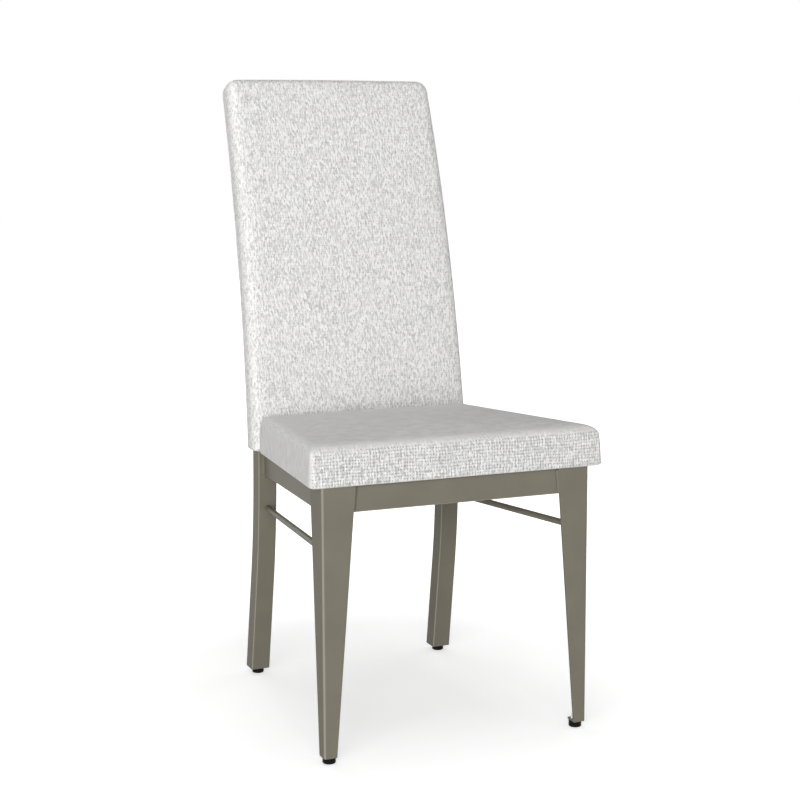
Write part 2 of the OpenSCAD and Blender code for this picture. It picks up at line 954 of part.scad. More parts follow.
// Fabric sleeve of the back, with a hole at the bottom for each post
module back_cover() {
    color(fabric_colour)
        difference() {
            loft(back_rings(0, skin_corner, core_run, skin_rows));
            loft(back_rings(cover_t, core_corner, core_run, core_rows));
            for (side = [-1, 1])
                on_side(side)
                    leg_room(leg_gap);
        }
}

module seat_board() {
    color(wood_colour)
        difference() {
            on_seat()
                translate([0, 0, board_z])
                    linear_extrude(board_t)
                        polygon(seat_outline(board_inset, board_corner, 1));
            for (side = [-1, 1])
                on_side(side)
                    at_bolts() {
                        cylinder(d = tee_barrel_d + soft_gap, h = 2 * foam_z, $fn = round_fn);
                        translate([0, 0, foam_z - tee_flange_t])
                            cylinder(d = tee_flange_d + soft_gap, h = foam_z, $fn = round_fn);
                    }
        }
}

module seat_tee_nuts() {
    color(zinc_colour)
        for (side = [-1, 1])
            on_side(side)
                at_bolts()
                    difference() {
                        union() {
                            translate([0, 0, foam_z - tee_flange_t])
                                cylinder(d = tee_flange_d, h = tee_flange_t, $fn = round_fn);
                            translate([0, 0, board_z])
                                cylinder(d = tee_barrel_d, h = board_t - tee_flange_t, $fn = round_fn);
                        }
                        cylinder(d = bolt_d + thread_gap, h = 2 * foam_z, $fn = round_fn);
                    }
}

module seat_washers() {
    color(zinc_colour)
        for (side = [-1, 1])
            on_side(side)
                at_bolts()
                    translate([0, 0, -tab_t - washer_t])
                        difference() {
                            cylinder(d = washer_d, h = washer_t, $fn = round_fn);
                            translate([0, 0, -washer_t])
                                cylinder(d = bolt_d + thread_gap, h = 3 * washer_t, $fn = round_fn);
                        }
}

// Bolts with a hexagon socket in a round head
module seat_bolts() {
    low = -tab_t - washer_t;
    socket_af = bolt_d * 2 / 3;
    color(zinc_colour)
        for (side = [-1, 1])
            on_side(side)
                at_bolts()
                    difference() {
                        union() {
                            translate([0, 0, low - bolt_head_h])
                                cylinder(d = bolt_head_d, h = bolt_head_h, $fn = round_fn);
                            translate([0, 0, low])
                                cylinder(d = bolt_d, h = foam_z - bolt_short - low, $fn = round_fn);
                        }
                        translate([0, 0, low - 1.5 * bolt_head_h])
                            cylinder(d = socket_af / cos(30), h = bolt_head_h, $fn = 6);
                    }
}

module seat_foam() {
    color(foam_colour)
        on_seat()
            difference() {
                loft(seat_rings(cover_t + soft_gap, core_corner, core_run));
                translate([-reach / 2, -reach / 2, foam_z - reach])
                    cube(reach);
            }
}

// Fabric cover of the seat pad, turned under the board all round
module seat_cover() {
    color(fabric_colour)
        on_seat()
            difference() {
                loft(seat_rings(0, skin_corner, skin_run));
                loft(seat_rings(cover_t, core_corner, core_run));
                linear_extrude(board_z + leg_gap)
                    polygon(seat_outline(cover_return, core_corner, 1));
            }
}

module seat_dust_cover() {
    color(black_colour)
        difference() {
            on_seat()
                linear_extrude(dust_t)
                    polygon(seat_outline(board_inset + dust_inset, board_corner, 1));
            for (side = [-1, 1])
                on_side(side)
                    at_bolts()
                        translate([0, 0, -dust_t])
                            cylinder(d = bolt_d + 4 * bolt_gap, h = 3 * dust_t, $fn = round_fn);
        }
}

// Hard plastic foot that turns up and down on its stem
module glide_pad(front, side) {
    h = foot_z - body_gap;
    color(black_colour)
        at_foot(front, side)
            rotate_extrude($fn = round_fn)
                union() {
                    square([pad_d / 2 - pad_edge, h]);
                    translate([0, pad_edge])
                        square([pad_d / 2, h - pad_edge]);
                    intersection() {
                        translate([pad_d / 2 - pad_edge, pad_edge])
                            circle(r = pad_edge, $fn = round_fn);
                        square([pad_d / 2, pad_edge]);
                    }
                }
}

module glide_stem(front, side) {
    color(zinc_colour)
        at_foot(front, side)
            translate([0, 0, foot_z - body_gap])
                cylinder(d = stem_d, h = stem_h, $fn = round_fn);
}

placed() front_leg(-1);  // front_leg_left
placed() front_leg(1);  // front_leg_right
placed() rear_leg(-1);  // rear_leg_left
placed() rear_leg(1);  // rear_leg_right
placed() back_post(-1);  // back_post_left
placed() back_post(1);  // back_post_right
placed() front_foot_plate(-1);  // front_foot_plate_left
placed() front_foot_plate(1);  // front_foot_plate_right
placed() rear_foot_plate(-1);  // rear_foot_plate_left
placed() rear_foot_plate(1);  // rear_foot_plate_right
placed() foot_weld_nuts();
placed() front_rail();
placed() rear_rail();
placed() side_rail(-1);  // side_rail_left
placed() side_rail(1);  // side_rail_right
placed() side_stretcher(-1);  // side_stretcher_left
placed() side_stretcher(1);  // side_stretcher_right
placed() frame_welds();
placed() seat_tab(true, -1);  // seat_tab_front_left
placed() seat_tab(true, 1);  // seat_tab_front_right
placed() seat_tab(false, -1);  // seat_tab_rear_left
placed() seat_tab(false, 1);  // seat_tab_rear_right
placed() cross_rail(cross_low_a);  // back_lower_rail
placed() cross_rail(cross_mid_a);  // back_middle_rail
placed() cross_rail(cross_top_a);  // back_upper_rail
placed() back_board();
placed() back_board_screws();
placed() back_foam();
placed() back_cover();
placed() seat_board();
placed() seat_tee_nuts();
placed() seat_bolts();
placed() seat_washers();
placed() seat_foam();
placed() seat_cover();
placed() seat_dust_cover();
placed() glide_pad(true, -1);  // glide_pad_front_left
placed() glide_pad(true, 1);  // glide_pad_front_right
placed() glide_pad(false, -1);  // glide_pad_rear_left
placed() glide_pad(false, 1);  // glide_pad_rear_right
placed() glide_stem(true, -1);  // glide_stem_front_left
placed() glide_stem(true, 1);  // glide_stem_front_right
placed() glide_stem(false, -1);  // glide_stem_rear_left
placed() glide_stem(false, 1);  // glide_stem_rear_right
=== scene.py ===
# %% [markdown]
# # A high-back dining chair on a welded steel frame
# The steel, the boards and the screws come from the imported CAD model, exact to the millimetre. Blender's
# part is the upholstery, the finishes and the light. Cloth may swell a little past its solid but must not
# change the chair's size.

# %% Load the chair's frame
import bpy
import json
import math
import numpy as np
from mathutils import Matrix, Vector
from mathutils.kdtree import KDTree


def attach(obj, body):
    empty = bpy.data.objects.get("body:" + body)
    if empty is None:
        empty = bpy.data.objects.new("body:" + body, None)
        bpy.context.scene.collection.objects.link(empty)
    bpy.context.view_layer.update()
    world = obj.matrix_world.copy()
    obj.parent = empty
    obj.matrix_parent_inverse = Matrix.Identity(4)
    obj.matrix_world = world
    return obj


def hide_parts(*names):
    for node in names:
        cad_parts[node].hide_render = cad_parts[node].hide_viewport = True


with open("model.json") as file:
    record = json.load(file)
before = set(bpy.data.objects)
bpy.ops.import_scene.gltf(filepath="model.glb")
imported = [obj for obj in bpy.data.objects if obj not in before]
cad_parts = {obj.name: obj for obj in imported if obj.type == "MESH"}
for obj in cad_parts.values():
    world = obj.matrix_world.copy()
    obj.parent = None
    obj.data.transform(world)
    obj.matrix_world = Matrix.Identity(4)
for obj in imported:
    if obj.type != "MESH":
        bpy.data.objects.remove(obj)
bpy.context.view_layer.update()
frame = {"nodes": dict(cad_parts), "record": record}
nodes = frame["nodes"]
scene = bpy.context.scene
MM = 0.001

# %% [markdown]
# ## Camera
# The camera stands to the chair's left, a little above the seat, and looks slightly down. Its place and
# focal length come from solving the chair's edges in perspective for a square picture of 800 pixels.

# %% Camera
SENSOR_W = 36.0
PICTURE_W = 800
FOCAL_PIXELS = 1715.06
CAMERA_PLACE = Vector((-1039.79, -2544.85, 925.97)) * MM
CAMERA_TURN = 22.69
CAMERA_DIP = 9.05

camera_data = bpy.data.cameras.new("camera")
camera_data.sensor_width = SENSOR_W
camera_data.lens = FOCAL_PIXELS / PICTURE_W * SENSOR_W
camera = bpy.data.objects.new("camera", camera_data)
camera.location = CAMERA_PLACE
camera.rotation_euler = (math.radians(90 - CAMERA_DIP), 0, math.radians(-CAMERA_TURN))
scene.collection.objects.link(camera)
scene.camera = camera
print("lens", round(camera_data.lens, 2), "mm")

# %% [markdown]
# ## Tools for node trees
# The studio and every finish are node trees. A few helpers keep the later cells short: one adds a node
# and feeds its sockets with values or with other nodes' outputs, the others are the sums that come up
# again and again. Numbers that are the same all over a surface are typed on the shader's own sockets.

# %% Node helpers
def feed(tree, socket, value):
    """Links an output to the socket, or types a value on it."""
    if isinstance(value, bpy.types.NodeSocket):
        tree.links.new(value, socket)
    else:
        socket.default_value = value


def add(tree, kind, feeds=None, **settings):
    """Adds a node with its settings; feeds maps its sockets to values or outputs."""
    item = tree.nodes.new(kind)
    for key, value in settings.items():
        setattr(item, key, value)
    for key, value in (feeds or {}).items():
        feed(tree, item.inputs[key], value)
    return item


def maths(tree, operation, a, b=None, clamp=False):
    """One sum of one or two numbers."""
    feeds = {0: a} if b is None else {0: a, 1: b}
    return add(tree, "ShaderNodeMath", feeds, operation=operation, use_clamp=clamp).outputs[0]


def spread(tree, value, low, high, to_low, to_high):
    """Maps low..high to to_low..to_high, held at both ends."""
    feeds = {"Value": value, "From Min": low, "From Max": high, "To Min": to_low, "To Max": to_high}
    return add(tree, "ShaderNodeMapRange", feeds).outputs["Result"]


def blend(tree, factor, a, b):
    """Colour a where factor is 0, colour b where it is 1."""
    item = add(tree, "ShaderNodeMix", {"Factor": factor, 6: a, 7: b}, data_type="RGBA")
    return item.outputs[2]


print("five node helpers")

# %% [markdown]
# Two places come up in most trees: where a point lies on the object, and which way the surface faces.
# Facing is kept without its sign, so that left and right, or front and rear, get the same finish.

# %% Places and directions
def object_spot(tree):
    """The point on the object, in metres."""
    return add(tree, "ShaderNodeTexCoord").outputs["Object"]


def facing(tree, kind="Normal"):
    """How squarely the surface faces X, Y and Z, each from 0 to 1."""
    normal = add(tree, "ShaderNodeNewGeometry").outputs[kind]
    unsigned = add(tree, "ShaderNodeVectorMath", {0: normal}, operation="ABSOLUTE").outputs[0]
    return add(tree, "ShaderNodeSeparateXYZ", {"Vector": unsigned}).outputs


def scaled(tree, vector, factors, seed=0.0):
    """A vector times factors, moved by seed so that two noises differ."""
    return add(tree, "ShaderNodeVectorMath", {0: vector, 1: factors, 2: (seed, seed, seed)},
               operation="MULTIPLY_ADD").outputs[0]


print("three place helpers")

# %% [markdown]
# ## Studio
# The chair stands in a pale studio. The backdrop is white for the camera and in reflections, but lights
# the chair only faintly, because a white world would wash its shapes out. Light Path tells the two apart.

# %% World
scene.view_settings.view_transform = "Standard"
WHITE = (1, 1, 1, 1)
ROOM_LEVEL = 0.07
BACKDROP_LEVEL = 1.0


def seen_rays(tree):
    """1 for rays that show the backdrop: camera, glossy and transmission rays."""
    rays = add(tree, "ShaderNodeLightPath").outputs
    seen = maths(tree, "MAXIMUM", rays["Is Camera Ray"], rays["Is Glossy Ray"])
    return maths(tree, "MAXIMUM", seen, rays["Is Transmission Ray"])


world = bpy.data.worlds.new("studio")
scene.world = world
world.use_nodes = True
tree = world.node_tree
tree.nodes.clear()
room = add(tree, "ShaderNodeBackground", {"Color": WHITE, "Strength": ROOM_LEVEL})
backdrop = add(tree, "ShaderNodeBackground", {"Color": WHITE, "Strength": BACKDROP_LEVEL})
pick = add(tree, "ShaderNodeMixShader",
           {0: seen_rays(tree), 1: room.outputs[0], 2: backdrop.outputs[0]})
add(tree, "ShaderNodeOutputWorld", {"Surface": pick.outputs[0]})
print("world lights the chair at", ROOM_LEVEL)

# %% [markdown]
# ## Lamps
# Two large lamps at the front left make the corners that turn that way the brightest. Weak ones from the
# right, from behind and from above keep the other faces readable, and leave the seat's top the darkest
# fabric. They stand far away, so that both front legs get about the same light. Each is given by the
# level to which it lights a surface that faces it: 1 would show a colour just as it is written.

# %% Lamps
MIDDLE = Vector((0, 0, 0.5))
LAMP_DISTANCE = 7.5
LAMP_SIDE = 5.0
LAMPS = (  # name, degrees round from the chair's front, degrees up, level
    ("key", 39, 6, 0.585),
    ("front_fill", 20, 6, 0.575),
    ("rear_right", -110, 8, 0.16),
    ("rear_left", 165, 10, 0.21),
    ("rear", 180, 4, 0.14),
    ("overhead", 0, 85, 0.26),
)


def lamp(name, azimuth, height, level):
    """A square lamp that looks at the chair's middle."""
    a, e = math.radians(azimuth), math.radians(height)
    way = Vector((-math.sin(a) * math.cos(e), -math.cos(a) * math.cos(e), math.sin(e)))
    data = bpy.data.lights.new(name, "AREA")
    data.shape = "SQUARE"
    data.size = LAMP_SIDE
    data.energy = level * math.pi ** 2 * LAMP_DISTANCE ** 2
    holder = bpy.data.objects.new(name, data)
    holder.location = MIDDLE + way * LAMP_DISTANCE
    holder.rotation_euler = (-way).to_track_quat("-Z", "Y").to_euler()
    holder.visible_camera = False
    scene.collection.objects.link(holder)
    print("lamp", name, round(data.energy, 1), "W")


for row in LAMPS:
    lamp(*row)

# %% [markdown]
# ## Floor paper
# The floor is white paper. Near the chair it takes the soft shadow. Further out it glows for the camera
# until it is as white as the backdrop, so that no edge shows, and the glow lights nothing.

# %% Floor paper
PAPER_ALBEDO = 0.9
GLOW_NEAR, GLOW_FAR = 0.545, 1.0
GLOW_START, GLOW_END = 0.38, 1.0

floor_paint = bpy.data.materials.new("floor_paper")
floor_paint.use_nodes = True
tree = floor_paint.node_tree
tree.nodes.clear()
matt = add(tree, "ShaderNodeBsdfDiffuse", {"Color": (PAPER_ALBEDO, PAPER_ALBEDO, PAPER_ALBEDO, 1)})
from_chair = add(tree, "ShaderNodeVectorMath", {0: object_spot(tree)}, operation="LENGTH")
fade = spread(tree, from_chair.outputs["Value"], GLOW_START, GLOW_END, GLOW_NEAR, GLOW_FAR)
glow = add(tree, "ShaderNodeEmission",
           {"Color": WHITE, "Strength": maths(tree, "MULTIPLY", seen_rays(tree), fade)})
both = add(tree, "ShaderNodeAddShader", {0: matt.outputs[0], 1: glow.outputs[0]})
add(tree, "ShaderNodeOutputMaterial", {"Surface": both.outputs[0]})
print("paper glows from", GLOW_NEAR, "to", GLOW_FAR)

# %% [markdown]
# The sheet itself is one large square.

# %% Floor
FLOOR_HALF = 14.0
floor_mesh = bpy.data.meshes.new("floor")
floor_mesh.from_pydata(
    [(-FLOOR_HALF, -FLOOR_HALF, 0), (FLOOR_HALF, -FLOOR_HALF, 0),
     (FLOOR_HALF, FLOOR_HALF, 0), (-FLOOR_HALF, FLOOR_HALF, 0)], [], [(0, 1, 2, 3)])
floor = bpy.data.objects.new("floor", floor_mesh)
scene.collection.objects.link(floor)
floor.data.materials.append(floor_paint)
print("floor", 2 * FLOOR_HALF, "m square")

# %% [markdown]
# The glides screw out of the feet, and a floor that stayed where it is would cut through them. A Floor
# constraint lets an object go no further than a target on one side: one for each glide keeps the paper
# under the lowest glide at every pose, with no animation at all.

# %% Floor under the glides
for corner in ("front_left", "front_right", "rear_left", "rear_right"):
    glide = nodes["glide_pad_" + corner]
    under = floor.constraints.new("FLOOR")
    under.target = glide
    under.floor_location = "FLOOR_NEGATIVE_Z"
    under.offset = -glide.matrix_world.translation.z
print("the floor keeps under", len(floor.constraints), "glides")

# %% [markdown]
# ## Tools for the finishes
# An effect that several finishes share goes into a node group with named sockets, so that it is built
# once. A finish itself is a material with one Principled shader. Fine relief, far too small to model, is
# a Bump node on the shader's normal.

# %% Finish helpers
def new_group(name, takes, gives):
    """A node group; takes are (name, kind, default) rows and gives are names of plain numbers."""
    group = bpy.data.node_groups.new(name, "ShaderNodeTree")
    for label, kind, default in takes:
        socket = group.interface.new_socket(label, in_out="INPUT", socket_type="NodeSocket" + kind)
        if default is not None:
            socket.default_value = default
    for label in gives:
        group.interface.new_socket(label, in_out="OUTPUT", socket_type="NodeSocketFloat")
    return group, group.nodes.new("NodeGroupInput"), group.nodes.new("NodeGroupOutput")


def use_group(tree, group, feeds=None):
    """Places a group in a tree and feeds its sockets."""
    return add(tree, "ShaderNodeGroup", feeds, node_tree=group)


def new_finish(name, **sockets):
    """A material with a Principled shader, its constant sockets set."""
    finish = bpy.data.materials.new(name)
    finish.use_nodes = True
    tree = finish.node_tree
    shader = tree.nodes["Principled BSDF"]
    for key, value in sockets.items():
        shader.inputs[key.replace("_", " ").title().replace("Ior", "IOR")].default_value = value
    return finish, tree, shader


def raise_surface(tree, shader, height, distance, strength):
    """Feeds a height to the shader's normal through a Bump node."""
    bump = add(tree, "ShaderNodeBump", {"Height": height, "Distance": distance, "Strength": strength})
    tree.links.new(bump.outputs["Normal"], shader.inputs["Normal"])


print("finish helpers ready")

# %% [markdown]
# ## The slubby weave
# The cover is a plain weave of off-white yarn with thick and thin places and grey flecks. A picture of
# cloth would do, but a procedural weave keeps its scale on every piece. The first group draws the weave
# on a flat plane. Real yarns never run quite straight, so a soft noise moves the plane's points a little
# before anything is drawn on it.

# %% Wandering yarns
YARN = 1.5 * MM
WANDER = 1.3 * MM
WANDER_SCALE = 70.0

weave, weave_in, weave_out = new_group(
    "slub_weave", [("Vector", "Vector", None)], ["Tone", "Height", "Gap"])
place = weave_in.outputs["Vector"]
wander = add(weave, "ShaderNodeTexNoise", {"Vector": place, "Scale": WANDER_SCALE, "Detail": 1.0})
shift = add(weave, "ShaderNodeVectorMath", {0: wander.outputs["Color"], 1: (0.5, 0.5, 0.5)},
            operation="SUBTRACT").outputs[0]
moved = add(weave, "ShaderNodeVectorMath", {0: shift, 1: (WANDER, WANDER, 0), 2: place},
            operation="MULTIPLY_ADD").outputs[0]
print("yarns of", YARN / MM, "mm wander", WANDER / MM, "mm")

# %% [markdown]
# Measured in yarns, the plane has a whole number at each gap between two yarns. A sine of that is round
# like a yarn's back. Where the product of both sines is positive the warp lies on top, else the weft.

# %% Over and under
OVERLAP = 0.15


def split_xy(vector):
    """The two coordinates of a point on the plane."""
    item = add(weave, "ShaderNodeSeparateXYZ", {"Vector": vector})
    return item.outputs["X"], item.outputs["Y"]


def yarn_wave(value):
    """0 between two yarns and 1 or -1 on a yarn."""
    return maths(weave, "SINE", maths(weave, "MULTIPLY", value, math.pi))


across, along = split_xy(scaled(weave, moved, (1 / YARN, 1 / YARN, 1)))
warp_wave = yarn_wave(across)
weft_wave = yarn_wave(along)
on_top = spread(weave, maths(weave, "MULTIPLY", warp_wave, weft_wave), -OVERLAP, OVERLAP, 0.0, 1.0)
print("weave group:", len(weave.nodes), "nodes")

# %% [markdown]
# Each stretch of yarn that lies on top has its own tone, which makes the flecks. Neighbouring yarns start
# their stretches at other places, or the flecks would stand in rows. Long soft streaks along the warp and
# the weft are the slubs.

# %% Flecks and slubs
WARP_FLOAT, WEFT_FLOAT = 3.3, 2.4
WARP_SLUB, WEFT_SLUB = (420, 45, 1), (60, 420, 1)
START_SPAN = 9.0


def stretch_tone(across, along, length, seed):
    """One random tone for each stretch of yarn, length yarns long."""
    column = maths(weave, "FLOOR", across)
    start = add(weave, "ShaderNodeTexWhiteNoise", {"W": maths(weave, "ADD", column, seed)},
                noise_dimensions="1D").outputs["Value"]
    steps = maths(weave, "ADD", maths(weave, "DIVIDE", along, length),
                  maths(weave, "MULTIPLY", start, START_SPAN))
    cell = add(weave, "ShaderNodeCombineXYZ",
               {"X": column, "Y": maths(weave, "FLOOR", steps), "Z": seed})
    return add(weave, "ShaderNodeTexWhiteNoise", {"Vector": cell.outputs[0]}).outputs["Value"]


def slub_tone(factors, seed):
    """Soft streaks, about 0.5 in the middle, drawn out along a yarn."""
    return add(weave, "ShaderNodeTexNoise",
               {"Vector": scaled(weave, moved, factors, seed), "Scale": 1.0,
                "Detail": 1.5}).outputs["Fac"]


warp_tone = stretch_tone(across, along, WARP_FLOAT, seed=3.1)
weft_tone = stretch_tone(along, across, WEFT_FLOAT, seed=11.7)
warp_slub = slub_tone(WARP_SLUB, seed=5.3)
weft_slub = slub_tone(WEFT_SLUB, seed=17.9)
print("weave group:", len(weave.nodes), "nodes")

# %% [markdown]
# Small gaps lie between the thicker yarns, which come every few yarns. A gap is a hole where two of them
# cross, or a short slot along one. Each has its own depth, so that only some of them show. The covers
# darken their tone there with painted shade and lower the relief.

# %% Gaps
THICK_YARN = 4.7 * MM
DRIFT = 5 * MM
DRIFT_SCALE = 14.0
GAP_WIDTH = 0.7
SLOT_LENGTH = 2.0
HOLE_DEPTH, ROW_DEPTH, COLUMN_DEPTH = 1.0, 0.14, 0.13


def spot_tone(across, along, seed):
    """One random tone for each crossing of two gaps, which lie at whole numbers."""
    cell = add(weave, "ShaderNodeCombineXYZ",
               {"X": maths(weave, "ROUND", across), "Y": maths(weave, "ROUND", along), "Z": seed})
    return add(weave, "ShaderNodeTexWhiteNoise", {"Vector": cell.outputs[0]}).outputs["Value"]


def gap_beside(value):
    """1 in the middle of a gap between thick yarns, 0 on the yarns."""
    return spread(weave, maths(weave, "ABSOLUTE", yarn_wave(value)), 0.0, GAP_WIDTH, 1.0, 0.0)


drift = add(weave, "ShaderNodeTexNoise",
            {"Vector": place, "Scale": DRIFT_SCALE, "Detail": 1.0}).outputs["Color"]
drifted = add(weave, "ShaderNodeVectorMath", {0: drift, 1: (DRIFT, DRIFT, 0), 2: moved},
              operation="MULTIPLY_ADD").outputs[0]
thick_across, thick_along = split_xy(scaled(weave, drifted, (1 / THICK_YARN, 1 / THICK_YARN, 1)))
half_across = maths(weave, "ADD", thick_across, 0.5)
half_along = maths(weave, "ADD", thick_along, 0.5)
gap_across, gap_along = gap_beside(thick_across), gap_beside(thick_along)
crossing = maths(weave, "MULTIPLY", gap_across, gap_along)
# Painted shade in the gaps: holes, rows and columns, each with its own depth.
gap_shade = 0.0
for shape, chance, depth in (
        (crossing, spot_tone(thick_across, thick_along, seed=23.0), HOLE_DEPTH),
        (gap_along, stretch_tone(half_along, half_across, SLOT_LENGTH, seed=31.0), ROW_DEPTH),
        (gap_across, stretch_tone(half_across, half_along, SLOT_LENGTH, seed=37.0), COLUMN_DEPTH)):
    part = maths(weave, "MULTIPLY", maths(weave, "MULTIPLY", shape, chance), depth)
    gap_shade = maths(weave, "ADD", part, gap_shade)
print("weave group:", len(weave.nodes), "nodes")

# %% [markdown]
# Last, the parts are put together. The tone is a middle grey with each effect added around it. The height
# is the round back of whichever yarn lies on top, and pale yarns stand a little higher.

# %% Tone and height
YARN_MIDDLE = 0.72
LOW_YARN, HIGH_YARN = 0.6, 1.3

tone = YARN_MIDDLE
for source, gain in ((warp_tone, 0.70), (weft_tone, 0.24), (warp_slub, 0.25), (weft_slub, 0.15)):
    part = maths(weave, "MULTIPLY", maths(weave, "SUBTRACT", source, 0.5), gain)
    tone = maths(weave, "ADD", part, tone)
under = maths(weave, "SUBTRACT", 1.0, on_top)
warp_back = maths(weave, "MULTIPLY", maths(weave, "ABSOLUTE", warp_wave), on_top)
weft_back = maths(weave, "MULTIPLY", maths(weave, "ABSOLUTE", weft_wave), under)
thickness = spread(weave, warp_tone, 0.0, 1.0, LOW_YARN, HIGH_YARN)
slub = maths(weave, "MULTIPLY", maths(weave, "ADD", warp_back, weft_back), thickness)
for label, value in (("Tone", tone), ("Height", slub), ("Gap", gap_shade)):
    weave.links.new(value, weave_out.inputs[label])
print("weave group:", len(weave.nodes), "nodes")

# %% [markdown]
# A second group lays the weave on a cushion from the front, the side or above, whichever way the surface
# faces. Three copies of the weave could be mixed, but they make the shader too large for the renderer.
# One copy whose coordinates switch from plane to plane does the same.

# %% Weave on a cushion
PLANE_SWITCH = 0.71
cover_weave, _, cover_out = new_group(
    "weave_on_three_sides", [], ["Tone", "Height", "Gap", "Side", "Up", "Front"])
spot = add(cover_weave, "ShaderNodeSeparateXYZ", {"Vector": object_spot(cover_weave)}).outputs
faces = facing(cover_weave)


def switched(first, second, axis):
    """The first coordinate, or the second one where the surface faces along the axis."""
    turned = maths(cover_weave, "GREATER_THAN", faces[axis], PLANE_SWITCH)
    step = maths(cover_weave, "SUBTRACT", spot[second], spot[first])
    return maths(cover_weave, "ADD", maths(cover_weave, "MULTIPLY", step, turned), spot[first])


flat = add(cover_weave, "ShaderNodeCombineXYZ",
           {"X": switched("X", "Y", "X"), "Y": switched("Z", "Y", "Z")})
laid = use_group(cover_weave, weave, {"Vector": flat.outputs[0]})
for label in ("Tone", "Height", "Gap"):
    cover_weave.links.new(laid.outputs[label], cover_out.inputs[label])
for axis, label in (("X", "Side"), ("Z", "Up"), ("Y", "Front")):
    cover_weave.links.new(faces[axis], cover_out.inputs[label])
print("cover group:", len(cover_weave.nodes), "nodes")

# %% [markdown]
# ## Smooth places
# The seat's top and sides are pulled tight and brushed smooth: there the yarns fade, and long faint
# streaks run along the cloth instead, across the seat on its top, up and down on its sides, and finer
# ones over its rounded edges.

# %% Streaks
FLAT_FROM, FLAT_TO = 0.85, 0.97
TOP_STREAKS = ((55, 95, 30), 1.0, 2.0)
SIDE_STREAKS = ((40, 95, 55), 1.2, 6.0)
EDGE_STREAKS = ((330, 110, 24), 1.8, 9.0)


def streaks(tree, factors, gain, seed):
    """Faint long streaks around nought."""
    noise = add(tree, "ShaderNodeTexNoise",
                {"Vector": scaled(tree, object_spot(tree), factors, seed), "Scale": 1.0,
                 "Detail": 3.0})
    return maths(tree, "MULTIPLY", maths(tree, "SUBTRACT", noise.outputs["Fac"], 0.5), gain)


def all_streaks(tree, cloth, gain):
    """The streaks of the top, the sides and the edges, each in its own place."""
    flat_top = spread(tree, cloth.outputs["Up"], FLAT_FROM, FLAT_TO, 0.0, 1.0)
    flat_side = spread(tree, cloth.outputs["Side"], FLAT_FROM, FLAT_TO, 0.0, 1.0)
    edge = maths(tree, "SUBTRACT", 1.0, maths(tree, "MAXIMUM", flat_top, flat_side))
    total = 0.0
    for share, (factors, strength, seed) in (
            (flat_top, TOP_STREAKS), (flat_side, SIDE_STREAKS), (edge, EDGE_STREAKS)):
        part = maths(tree, "MULTIPLY", streaks(tree, factors, gain * strength, seed), share)
        total = maths(tree, "ADD", part, total)
    return total


print("three kinds of streaks")

# %% [markdown]
# ## Cover finish
# One function makes both covers. Smooth is 0 where the cover faces the front and 1 where it has turned
# away. The relief is left out in a narrow band where the weave's plane switches, because a jump in a
# height map would print as a dark line.

# %% Cover finish
YARN_LIGHT = (0.985, 0.98, 0.965, 1)
YARN_DARK = (0.36, 0.357, 0.35, 1)
CLOTH_MIDDLE = 0.70
SIDE_LIGHT_FROM, SIDE_LIGHT_TO = 0.10, 0.55
FRONT_AT_SWITCH = (1 - PLANE_SWITCH ** 2) ** 0.5
CALM_BAND = 0.10
WEAVE_RELIEF, WEAVE_BUMP = 0.3 * MM, 0.7


def cover_finish(name, shade, gap_gain, smooth_gain, fade, streak_gain, painted_side_light=0.0):
    """Painted shade: the cloth that faces the front is darker by shade, and darker still in the weave's
    gaps; off the front, smooth_gain of that is left. Painted light: where the cloth faces sideways it is
    paler.
    """
    finish, tree, shader = new_finish(name, roughness=0.92, specular_ior_level=0.12)
    cloth = use_group(tree, cover_weave)
    smooth = spread(tree, cloth.outputs["Front"], *fade, 1.0, 0.0)
    contrast = spread(tree, smooth, 0.0, 1.0, 1.0, smooth_gain)
    # Painted shade in the weave's gaps and on the front-facing cloth.
    gap = maths(tree, "MULTIPLY", cloth.outputs["Gap"], gap_gain)
    yarn = maths(tree, "SUBTRACT", cloth.outputs["Tone"], gap)
    yarn = maths(tree, "SUBTRACT", yarn, CLOTH_MIDDLE + shade)
    woven = maths(tree, "MULTIPLY", yarn, contrast)
    soft = maths(tree, "MULTIPLY", all_streaks(tree, cloth, streak_gain), smooth)
    # Painted light on the cloth that faces sideways.
    side_light_tone = spread(tree, cloth.outputs["Side"], SIDE_LIGHT_FROM, SIDE_LIGHT_TO,
                  CLOTH_MIDDLE, CLOTH_MIDDLE + painted_side_light)
    total = maths(tree, "ADD", maths(tree, "ADD", side_light_tone, woven), soft, clamp=True)
    tree.links.new(blend(tree, total, YARN_DARK, YARN_LIGHT), shader.inputs["Base Color"])
    off_switch = maths(tree, "SUBTRACT", cloth.outputs["Front"], FRONT_AT_SWITCH)
    calm = spread(tree, maths(tree, "ABSOLUTE", off_switch), 0.0, CALM_BAND, 0.0, 1.0)
    height = maths(tree, "SUBTRACT", cloth.outputs["Height"], gap)
    height = maths(tree, "MULTIPLY", maths(tree, "MULTIPLY", height, contrast), calm)
    raise_surface(tree, shader, height, WEAVE_RELIEF, WEAVE_BUMP)
    return finish


seat_cloth = cover_finish("seat_cover_weave", shade=0.07, gap_gain=2.3, smooth_gain=0.08,
                          fade=(0.46, 0.97), streak_gain=0.42)
back_cloth = cover_finish("back_cover_weave", shade=0.02, gap_gain=0.40, smooth_gain=0.85,
                          fade=(0.31, 0.80), streak_gain=0.05, painted_side_light=0.12)
print("covers:", seat_cloth.name, back_cloth.name)

# %% [markdown]
# ## Painted steel
# The frame has a satin taupe-grey powder coat. Such a coat has a very fine orange-peel skin and a slightly
# uneven tone. On a fold or a tube's rounded corner the colour is paler: a painted highlight, which stands
# in for the gloss that the nearly matt shader leaves out. The group finds these corners from the normal:
# on a flat face one of its parts is close to 1, on a corner none is.

# %% Powder coat
MOTTLE_SCALE = 18.0
HIGHLIGHT_FROM, HIGHLIGHT_TO = 0.88, 0.96

